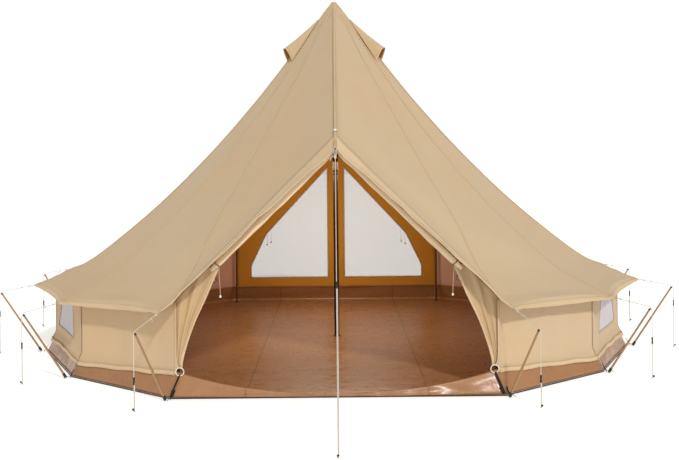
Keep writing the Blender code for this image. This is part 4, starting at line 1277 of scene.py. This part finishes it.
def make_front_flap(side):
    """Front flap: rolled under the hem down to its tie, then gathered towards the door's corner."""
    name = SIDE_NAMES[side]
    pivot, slope = hinge_line("front_flap_%s_swing" % name)
    unit = Vector((1.0, 0.0, slope)).normalized()
    drop = Vector((slope, 0.0, -1.0)).normalized()
    outer = DOOR_CORNER_X - 0.0006
    body = "front_flap_" + name

    def hem(x):
        return Vector((x, pivot.y, pivot.z + slope * x))

    def mirror(point):
        return Vector((side * point.x, point.y, point.z))

    cloth = Builder()
    rows, sides = [], 22
    steps = 60
    for index in range(steps + 1):
        t = index / steps
        centre = hem(0.035 + (ROLL_END - 0.035) * t) + drop * (0.030 - 0.006 * t)
        centre += Vector((0.0, -ROLL_PROUD, 0.0))
        swell = 0.022 + 0.004 * noise.noise(Vector((t * 9.0, side, 0.0)))
        swell -= 0.010 * math.exp(-((t - 1.0) / 0.05) ** 2)
        swell *= min(1.0, 0.55 + t * 6.0)
        ring = []
        for step in range(sides):
            angle = 2.0 * math.pi * step / sides
            fold = 1.0 + 0.10 * math.cos(3.0 * angle + t * 5.0 + side) + 0.06 * math.cos(7.0 * angle - t * 11.0)
            lap = 0.10 if 0.6 < angle < 1.0 else 0.0
            reach = swell * (fold + lap)
            ring.append(mirror(centre + drop * (1.18 * reach * math.cos(angle))
                               + Vector((0.0, 0.55 * reach * math.sin(angle), 0.0))))
        rows.append(ring if side > 0 else ring[::-1])
    cloth.grid(rows, True, lambda r, c: (c * 0.006, r * 0.016), 0, cap=True)
    roll = cloth.build("front_flap_roll_" + name, ["canvas_roll_lit"], body, ["front_flap_" + name])
    curtain, columns, lines = [], 44, 40
    edge_points = [(CURTAIN_START, 0.887), (0.844, 0.800), (0.900, 0.670), (0.975, 0.511), (1.030, 0.360),
                   (1.062, 0.240), (1.066, 0.192)]
    edge_curve = smooth_curve([(x, pivot.y, z) for x, z in edge_points], 0.012)
    wall_edge = straight(hem(outer), (outer, pivot.y, 0.186), 0.012)

    def along_curve(curve, share):
        place = share * (len(curve) - 1)
        index = min(int(place), len(curve) - 2)
        return curve[index].lerp(curve[index + 1], place - index)

    for row in range(lines + 1):
        b = row / lines
        left, right = along_curve(edge_curve, b), along_curve(wall_edge, b)
        width = (right - left).length
        line = []
        for column in range(columns + 1):
            a = column / columns
            x = CURTAIN_START + (outer - CURTAIN_START) * a
            under_roof = Vector((x, pivot.y, ROOF_LINE_TOP + ROOF_LINE_SLOPE * x - 0.006))
            reach = min(1.0, a / CURTAIN_RISE)
            top = under_roof
            if a < CURTAIN_RISE:
                top = edge_curve[0].lerp(under_roof, reach * reach * (3.0 - 2.0 * reach))
            flat_top = edge_curve[0].lerp(wall_edge[0], a)
            point = left.lerp(right, a) + (top - flat_top) * (1.0 - b) ** 2
            wander = 1.4 * noise.noise(Vector((a * 3.0, b * 1.5, side * 3.0)))
            fold = math.sin(a * 5.0 * math.pi + wander)
            held = min(1.0, width / 0.16) * min(1.0, 6.0 * (1.0 - a)) * min(1.0, 0.25 + b * 5.0)
            point.y -= (0.010 * fold + 0.004) * held
            billow = noise.noise(Vector((a * 2.0, b * 3.0, 9.0 + side)))
            point.y += 0.014 * billow * math.sin(math.pi * b) * (1.0 - a)
            line.append(mirror(point))
        curtain.append(line if side > 0 else line[::-1])
    sheet = Builder().grid(curtain, False, lambda r, c: (c * 0.012, r * 0.016)).build(
        "front_flap_curtain_" + name, ["canvas_flap", "canvas_inside_backlit_shade"], None)
    thicken(sheet, 0.0016, inside=1, offset=0.0)
    edge = [row[0 if side > 0 else columns] for row in curtain]
    hemline = Builder().band(edge, [Vector((side * 0.010, 0.0, 0.004))] * len(edge), 0.003,
                             [Vector((0.0, -1.0, 0.0))] * len(edge))
    hem_item = hemline.build("front_flap_hem_" + name, ["hem"], None)
    for item in (sheet, hem_item):
        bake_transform(settle(item))
    tie = hem(TIE_X) + drop * 0.028 + Vector((0.0, -ROLL_PROUD, 0.0))
    loop = Builder()
    ring = [mirror(tie + drop * (0.029 * math.cos(2.0 * math.pi * k / 28)) + Vector(
        (0.0, 0.017 * math.sin(2.0 * math.pi * k / 28), 0.0)) + unit * (0.002 * math.sin(4.0 * math.pi * k / 28)))
        for k in range(29)]
    loop.tube(ring, 0.0024, 8)
    loop.build("tie_loop_" + name, ["black"], body)
    start = mirror(tie + drop * 0.020 + Vector((0.0, -0.010, 0.0)))
    line = smooth_curve([start, start + Vector((side * 0.002, -0.006, -0.03)),
                         start + Vector((side * -0.003, -0.006, -0.11)),
                         start + Vector((side * -0.006, -0.004, -0.195))], 0.005)
    cord = Builder().tube(line, 0.0026, 10, 200.0, 3, 0.1).build("tie_cord_" + name, ["tie"], body)
    bead = Builder().turned(((0.0, 0.003), (0.002, 0.0060), (0.009, 0.0078), (0.016, 0.0060), (0.018, 0.003)),
                            line[-1] + Vector((0.0, 0.0, 0.004)), (0.0, 0.0, -1.0), 18).build(
        "tie_bead_" + name, ["white"], body)
    tuple(line[0])
    path_length(line)
    [tuple(point) for point in line]


def make_corner_ring(side):
    """White ring at the front door's lower corner, held by a black strap to the groundsheet's corner."""
    centre = Vector((side * 1.071, -DOOR_PLANE - 0.016, 0.172))
    ring = Builder()
    loop = [centre + Vector((0.0275 * math.cos(a), -0.002 * math.sin(2 * a), 0.0275 * math.sin(a)))
            for a in (2.0 * math.pi * k / 36 for k in range(37))]
    ring.tube(loop, 0.0034, 12)
    ring.build("corner_ring_" + SIDE_NAMES[side], ["white"])
    strap = Builder()
    top = centre + Vector((side * 0.004, -0.002, -0.026))
    low = corner_point(0, side, FLOOR_RADIUS - 0.010, 0.012)
    line = smooth_curve([top + Vector((0.0, 0.004, 0.006)), top,
                         top.lerp(low, 0.5) + Vector((0.0, -0.010, 0.0)), low], 0.008)
    strap.band(line, [Vector((0.008, 0.0, 0.002))] * len(line), 0.0018, [Vector((0.0, -1.0, 0.0))] * len(line))
    strap.band([point + Vector((side * -0.012, -0.003, 0.0)) for point in line[::-1][:8]],
               [Vector((0.006, 0.0, 0.0))] * 8, 0.0016, [Vector((0.0, -1.0, 0.0))] * 8)
    strap.build("corner_strap_" + SIDE_NAMES[side], ["webbing"])
    tag = Builder()
    back = [centre + Vector((side * 0.012, 0.010, 0.020)), centre + Vector((side * 0.024, 0.014, 0.055)),
            centre + Vector((side * 0.028, 0.016, 0.100))]
    tape = smooth_curve(back, 0.006)
    tag.band(tape, [Vector((0.007, 0.0, 0.0))] * len(tape), 0.0016, [Vector((0.0, -1.0, 0.0))] * len(tape))
    tag.build("corner_tape_" + SIDE_NAMES[side], ["hem"])


# ---- Poles -----------------------------------------------------------------------------------------

def make_centre_pole():
    low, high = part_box("centre_pole_lower")
    foot = Builder().turned(((0.0, 0.030), (0.001, 0.0320), (0.003, 0.0320), (0.0045, 0.0300), (0.0075, 0.0270),
                             (0.0098, 0.0235), (0.0100, 0.0225)),
                            (0.0, 0.0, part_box("centre_pole_foot")[0].z), UP, 40)
    foot.build("centre_pole_foot_cap", ["black"], TENT, ["centre_pole_foot"])
    radius = 0.5 * (high.x - low.x)
    tube = Builder().turned(((0.0, radius * 0.97), (0.002, radius), (high.z - low.z - 0.002, radius),
                             (high.z - low.z, radius * 0.97)), (0.0, 0.0, low.z), UP, 40)
    tube.turned(((0.0, 0.0035), (0.0012, 0.0035), (0.0022, 0.0022), (0.0024, 0.0004)),
                (0.0, -radius + 0.0004, high.z - 0.035), (0.0, -1.0, 0.0), 16)
    tube.build("centre_pole_lower_tube", ["brown_tube"], TENT, ["centre_pole_lower"])
    low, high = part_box("centre_pole_upper")
    length = high.z - low.z
    profile = ((0.0, 0.0240), (0.001, 0.0245), (0.018, 0.0245), (0.020, 0.0236), (0.024, 0.0236), (0.026, 0.0245),
               (0.058, 0.0245), (0.062, radius), (length - 0.070, radius), (length - 0.062, radius * 0.9),
               (length - 0.055, 0.013), (length - 0.004, 0.012), (length, 0.009))
    Builder().turned(profile, (0.0, 0.0, low.z), UP, 40).build(
        "centre_pole_upper_tube", ["brown_tube"], TENT, ["centre_pole_upper"])


def make_outrigger(corner, side):
    """Outrigger pole: boot with ribs, tan tube with a swaged joint, and a cap with its pin."""
    name = corner_label(corner, side)
    foot = corner_point(corner, side, OUTRIGGER_FOOT, 0.0)
    top = corner_point(corner, side, OUTRIGGER_TOP, OUTRIGGER_HEIGHT)
    lean = (top - foot).normalized()
    foot.z += 0.0110 * math.sqrt(1.0 - lean.z ** 2)
    axis = (top - foot).normalized()
    length = (top - foot).length
    tube = Builder()
    joint = length * 0.52
    tube.turned(((0.030, 0.0076), (0.032, 0.0080), (joint, 0.0080), (joint + 0.003, 0.0074),
                 (joint + 0.010, 0.0074), (joint + 0.012, 0.0072), (length - 0.013, 0.0072),
                 (length - 0.012, 0.0068)), foot, axis, 28)
    tube.build("outrigger_tube_" + name, ["tan_tube"], TENT, ["outrigger_pole_" + name])
    ends = Builder()
    ribs = [(0.0, 0.0080), (0.002, 0.0104), (0.007, 0.0110)]
    for k in range(4):
        ribs += [(0.010 + k * 0.006, 0.0102), (0.012 + k * 0.006, 0.0110), (0.014 + k * 0.006, 0.0110)]
    ribs += [(0.036, 0.0106), (0.038, 0.0082)]
    ends.turned(ribs, foot, axis, 28)
    ends.turned(((length - 0.013, 0.0078), (length - 0.012, 0.0084), (length - 0.005, 0.0084),
                 (length - 0.002, 0.0060), (length - 0.001, 0.0040), (length + 0.001, 0.0030)),
                foot, axis, 24)
    ends.build("outrigger_ends_" + name, ["black"])


def make_corner_peg(corner, side):
    """Steel peg that pins the groundsheet's corner: its hooked head lies outwards from the pole's foot."""
    out = direction(corner, side)
    across = crosswise(out)
    start = corner_point(corner, side, FLOOR_RADIUS + 0.018, 0.0) + across * 0.022
    line = smooth_curve([start + UP * 0.002, start + UP * 0.012, start + out * 0.012 + UP * 0.0155,
                         start + out * 0.055 + across * 0.010 + UP * 0.0075], 0.004)
    name = corner_label(corner, side)
    peg = Builder().tube(line, 0.0022, 10)
    peg.build("corner_peg_" + name, ["steel"])
    low = corner_point(corner, side, FLOOR_RADIUS - 0.012, 0.010) + across * 0.016
    strap = Builder()
    path = smooth_curve([low + UP * 0.050, low + out * 0.014 + UP * 0.022, start + UP * 0.008,
                         start - across * 0.020 + UP * 0.006], 0.006)
    strap.band(path, [across * 0.006] * len(path), 0.0018, [(out + UP).normalized()] * len(path))
    strap.build("corner_peg_loop_" + name, ["webbing"])


def make_frame_leg(door, side):
    """Bent leg of a door frame, smoothed along the solid's own route."""
    node = "%s_frame_leg_%s" % (DOOR_NAMES[door], SIDE_NAMES[side])
    low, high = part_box(node)
    y = 0.5 * (low.y + high.y)
    radius = 0.5 * (high.y - low.y)
    upright = max(abs(low.x), abs(high.x)) - radius
    inner = min(abs(low.x), abs(high.x)) + radius * 0.7
    top = Vector((side * inner, y, high.z - radius * 0.72))
    elbow = Vector((side * upright, y, top.z + FRAME_SLOPE * (upright - inner)))
    entry = elbow - UP * ELBOW
    leave = elbow + (top - elbow).normalized() * ELBOW
    path = straight((side * upright, y, low.z), entry, 0.05)
    for k in range(1, 16):
        t = k / 15.0
        path.append(entry.lerp(elbow, t).lerp(elbow.lerp(leave, t), t))
    path += straight(leave, top, 0.05)[1:]
    leg = Builder().tube(path, radius, 24)
    leg.turned(((0.0, radius * 1.02), (0.002, radius * 1.14), (0.030, radius * 1.14), (0.032, radius * 1.0)),
               (side * upright, y, low.z), UP, 24)
    leg.build("frame_leg_tube_%s_%s" % (DOOR_NAMES[door], SIDE_NAMES[side]), ["frame_tube"], TENT, [node])


# ---- Guy lines -------------------------------------------------------------------------------------

def corner_guy_points(corner, side):
    start = tip_point(corner, side) + direction(corner, side) * 0.006
    bend = corner_point(corner, side, GUY_RADIUS, OUTRIGGER_HEIGHT + 0.003 + ROPE_RADIUS + 0.004)
    end = corner_point(corner, side, GUY_RADIUS, 0.004)
    entry = bend + (start - bend).normalized() * 0.030
    leave = bend - UP * 0.030
    path = straight(start, entry, 0.004)
    path += [entry.lerp(bend, k / 10.0).lerp(bend.lerp(leave, k / 10.0), k / 10.0) for k in range(1, 11)]
    path += straight(leave, end, 0.004)[1:]
    return path


def rope_knot(builder, centre, along, size):
    """A small overhand knot drawn as a wound loop."""
    along = Vector(along).normalized()
    side = along.orthogonal().normalized()
    other = along.cross(side)
    points = []
    for k in range(41):
        t = k / 40.0
        a = 2.0 * math.pi * 2.0 * t
        points.append(Vector(centre) + along * (size * (t - 0.5) * 1.4) + side * (size * 0.62 * math.cos(a))
                      + other * (size * 0.62 * math.sin(a)))
    builder.tube(points, size * 0.42, 8)


def make_peg(name, foot, lean):
    """Guy peg: the dark head of a peg driven in at a slant."""
    lean = Vector(lean).normalized()
    peg = Builder()
    peg.tube([foot + lean * -0.004 + UP * 0.004, foot + lean * 0.004 + UP * 0.012,
              foot + lean * 0.009 + UP * 0.020], 0.0030, 10)
    peg.turned(((0.0, 0.003), (0.001, 0.0068), (0.005, 0.0075), (0.008, 0.0060), (0.009, 0.002)),
               foot + lean * 0.0085 + UP * 0.018, lean + UP * 1.2, 18)
    return peg.build(name, ["black"])


def make_runner(label, centre, along, outward):
    """Moulded runner: a waisted bar with two rope holes, on its slide."""
    body = "runner_" + label
    along, outward = Vector(along).normalized(), Vector(outward)
    side = along.cross(outward).normalized()
    outward = side.cross(along).normalized()
    half, thick = 0.025, 0.0042
    outline = []
    for k in range(48):
        angle = 2.0 * math.pi * k / 48
        length = half * math.sin(angle)
        waist = 0.0052 + 0.0032 * abs(math.sin(angle)) ** 1.5
        width = math.copysign(min(waist, waist * abs(math.cos(angle)) * 2.2), math.cos(angle))
        outline.append((length, width))
    rows = []
    for depth, shrink in ((-1.0, 0.82), (-0.75, 0.97), (0.0, 1.0), (0.75, 0.97), (1.0, 0.82)):
        rows.append([centre + along * (a * (1.0 - (1.0 - shrink) * 0.4)) + side * (b * shrink)
                     + outward * (thick * depth) for a, b in outline])
    bar = Builder().grid(rows, True, cap=True)
    for place in (-0.016, 0.016):
        loop = [centre + along * (place + 0.0042 * math.cos(a)) + side * (0.0042 * math.sin(a))
                + outward * (thick * 0.9) for a in (2.0 * math.pi * k / 16 for k in range(17))]
        bar.tube(loop, 0.0012, 6)
        bar.tube([point - outward * (thick * 1.8) for point in loop], 0.0012, 6)
    bar.build("runner_bar_" + label, ["black"], body, ["guy_runner_" + label])


def make_loop(label, centre, foot, offset):
    """Second strand of the guy line: the loop from the runner down round the peg."""
    top, low = Vector(centre), Vector(foot)
    path = [low + offset * 0.3]
    path += [low.lerp(top, t) + offset for t in [0.03 + 0.97 * k / 60.0 for k in range(61)]]
    strand = Builder().tube(path, ROPE_RADIUS, 8, ROPE_TWIST, 3, 0.10)
    item = strand.build("guy_loop_" + label, ["rope"], None)
    tuple(low)
    tuple(top)
    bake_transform(item)


def make_guy_rope(label, path, lean):
    """Main strand of a guy line along path, down to its peg."""
    rope = Builder().tube(path, ROPE_RADIUS, 9, ROPE_TWIST, 3, 0.10).build(
        "guy_rope_" + label, ["rope"], TENT, ["guy_line_" + label])
    foot = path[-1]
    peg = make_peg("guy_peg_" + label, Vector((foot.x, foot.y, 0.0)), lean)
    tuple(path[0])
    path_length(path)
    [tuple(point) for point in path[::2] + [path[-1]]]


def make_corner_guy(corner, side):
    label = corner_label(corner, side)
    out = direction(corner, side)
    across = crosswise(out)
    path = corner_guy_points(corner, side)
    make_guy_rope(label, path, out)
    low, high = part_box("guy_runner_" + label)
    centre = 0.5 * (low + high)
    make_runner(label, centre, UP, out)
    make_loop(label, centre + UP * -0.012, path[-1] + UP * 0.006, across * 0.0052)
    tip = tip_point(corner, side)
    run = (path[30] - path[0]).normalized()
    tab = Builder()
    strap = [tip - out * 0.050 + UP * 0.022, tip - out * 0.020 + UP * 0.010, tip + run * 0.004, tip + run * 0.030]
    line = smooth_curve(strap, 0.008)
    widths = [across * (0.010 - 0.0035 * k / len(line)) for k in range(len(line))]
    tab.band(line, widths, 0.0022, [UP] * len(line))
    tab.build("eave_tab_" + label, ["tab"])
    knots = Builder()
    rope_knot(knots, path[0] + run * 0.034, run, 0.0070)
    share = 0.34 + 0.05 * noise.noise(Vector((corner * 2.7, side, 0.0)))
    third = path[0].lerp(path[0] + run * 0.27, share)
    rope_knot(knots, third, run, 0.0055)
    tail = smooth_curve([third, third + across * 0.010 - UP * 0.004,
                         third + across * 0.016 - UP * 0.016 + run * 0.006], 0.003)
    knots.tube(tail, 0.0020, 8)
    knots.build("guy_knots_" + label, ["rope"])


def make_door_guy(door):
    label = DOOR_NAMES[door]
    upper = Vector((0.0, door * (DOOR_APEX_REACH + 0.020), DOOR_APEX_HEIGHT - 0.015))
    lower = Vector((0.0, door * DOOR_PEG_REACH, 0.004))
    path = straight(upper, lower, 0.004)
    make_guy_rope(label, path, (0.0, door, 0.0))
    low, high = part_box("guy_runner_" + label)
    centre = 0.5 * (low + high)
    along = (upper - lower).normalized()
    make_runner(label, centre, along, (0.0, door, 0.6))
    make_loop(label, centre - along * 0.012, lower + UP * 0.004, Vector((0.0052, 0.0, 0.0)))
    top = Builder()
    apex = Vector((0.0, door * (DOOR_APEX_REACH + 0.002), DOOR_APEX_HEIGHT + 0.004))
    knot = upper - along * 0.070
    for k in (-1, 1):
        strand = smooth_curve([apex + Vector((k * 0.004, 0.0, -0.002)),
                               apex + Vector((k * 0.009, door * 0.010, -0.022)),
                               knot + Vector((k * 0.007, door * 0.002, 0.020)), knot], 0.004)
        top.tube(strand, 0.0026, 9)
    rope_knot(top, knot, along, 0.0085)
    curl = smooth_curve([knot, knot + Vector((-0.014, door * 0.004, 0.010)),
                         knot + Vector((-0.030, door * 0.006, -0.002)),
                         knot + Vector((-0.036, door * 0.006, -0.022))], 0.004)
    top.tube(curl, 0.0025, 9)
    top.build("door_guy_loop_" + label, ["rope"])
    patch = Builder()
    line = [apex + Vector((0.0, -door * 0.070, 0.040)), apex + Vector((0.0, -door * 0.03, 0.0185)), apex,
            apex + Vector((0.0, door * 0.006, -0.012))]
    path = smooth_curve(line, 0.008)
    patch.band(path, [Vector((0.012, 0.0, 0.0))] * len(path), 0.0024,
               [Vector((0.0, door * 0.5, 0.86))] * len(path))
    patch.build("apex_tab_" + label, ["tab"])


# ---- Stage, light and camera ---------------------------------------------------------------------

def make_stage():
    floor = bpy.data.meshes.new("stage_floor")
    reach = 60.0
    corners = ((-reach, -reach), (reach, -reach), (reach, reach), (-reach, reach))
    floor.from_pydata([(x, y, -0.002) for x, y in corners], [], [(0, 1, 2, 3)])
    item = add_object("stage_floor", floor)
    material = bpy.data.materials.new("stage_floor")
    material.use_nodes = True
    shader = material.node_tree.nodes["Principled BSDF"]
    shader.inputs["Base Color"].default_value = (0.86, 0.86, 0.86, 1.0)
    shader.inputs["Roughness"].default_value = 0.9
    shader.inputs["Emission Color"].default_value = (1.0, 1.0, 1.0, 1.0)
    shader.inputs["Emission Strength"].default_value = 0.45
    floor.materials.append(material)
    world = bpy.data.worlds.new("studio")
    bpy.context.scene.world = world
    world.use_nodes = True
    nodes, links = world.node_tree.nodes, world.node_tree.links
    lit = nodes["Background"]
    lit.inputs["Color"].default_value = (1.0, 0.99, 0.97, 1.0)
    lit.inputs["Strength"].default_value = 0.56
    seen = nodes.new("ShaderNodeBackground")
    seen.inputs["Color"].default_value = (1.0, 1.0, 1.0, 1.0)
    seen.inputs["Strength"].default_value = 1.0
    path = nodes.new("ShaderNodeLightPath")
    mix = nodes.new("ShaderNodeMixShader")
    links.new(path.outputs["Is Camera Ray"], mix.inputs[0])
    links.new(lit.outputs[0], mix.inputs[1])
    links.new(seen.outputs[0], mix.inputs[2])
    links.new(mix.outputs[0], nodes["World Output"].inputs["Surface"])


def make_light(name, energy, angle, elevation, azimuth, color=(1.0, 1.0, 1.0)):
    """Distant light from an elevation and an azimuth, counted from the camera's side to the right."""
    light = bpy.data.lights.new(name, "SUN")
    light.energy = energy
    light.angle = math.radians(angle)
    light.color = color
    item = add_object(name, light)
    up, turn = math.radians(elevation), math.radians(azimuth)
    toward = Vector((math.sin(turn) * math.cos(up), -math.cos(turn) * math.cos(up), math.sin(up)))
    item.rotation_euler = toward.to_track_quat("Z", "Y").to_euler()


def make_glow(name, power, size, place, aim, color):
    """Soft light inside the tent, out of the camera's sight."""
    light = bpy.data.lights.new(name, "AREA")
    light.shape = "DISK"
    light.size = size
    light.energy = power
    light.color = color
    item = add_object(name, light)
    item.location = place
    item.rotation_euler = (Vector(place) - Vector(aim)).to_track_quat("Z", "Y").to_euler()
    item.visible_camera = False


def make_camera():
    camera = bpy.data.cameras.new("camera")
    item = add_object("camera", camera)
    item.location = (0.0, -9.02, 1.67)
    item.rotation_euler = (math.radians(90.0), math.radians(0.55), 0.0)
    camera.sensor_width = 36.0
    camera.lens = 53.4
    camera.shift_x = 0.0063
    camera.shift_y = -0.1178
    bpy.context.scene.camera = item


def main():
    bpy.context.scene.view_settings.view_transform = "Standard"
    make_camera()
    make_stage()
    make_light("key", 1.62, 4.0, 34.0, 18.0, (1.0, 0.985, 0.95))
    make_glow("roof_glow", 24.0, 1.4, (0.0, 0.1, 1.55), (0.0, -0.1, 0.0), (1.0, 0.86, 0.70))
    make_glow("door_glow", 8.0, 1.0, (0.0, 0.95, 1.15), (0.0, 2.2, 0.75), (1.0, 0.82, 0.58))
    for side in (1, -1):
        for corner in range(FLANK_SIDES + 1):
            make_corner_guy(corner, side)
            make_outrigger(corner, side)
            make_corner_peg(corner, side)
    for door in (-1, 1):
        make_door_guy(door)
        make_grommet(door)
        for side in (1, -1):
            make_frame_leg(door, side)
        connector = frame["nodes"][DOOR_NAMES[door] + "_frame_connector"]
        connector.data.materials.clear()
        connector.data.materials.append(PAINTS["steel"])
    make_centre_pole()
    shaped, marks = make_roof()
    make_roof_seams(shaped, marks)
    make_peak_patch(shaped)
    height = roof_heights(shaped)
    for side in (1, -1):
        make_hood(side, height)
        make_wall(side)
        make_back_door(side)
        make_front_flap(side)
        make_corner_ring(side)
    make_zip_slider()
    make_groundsheet()


main()
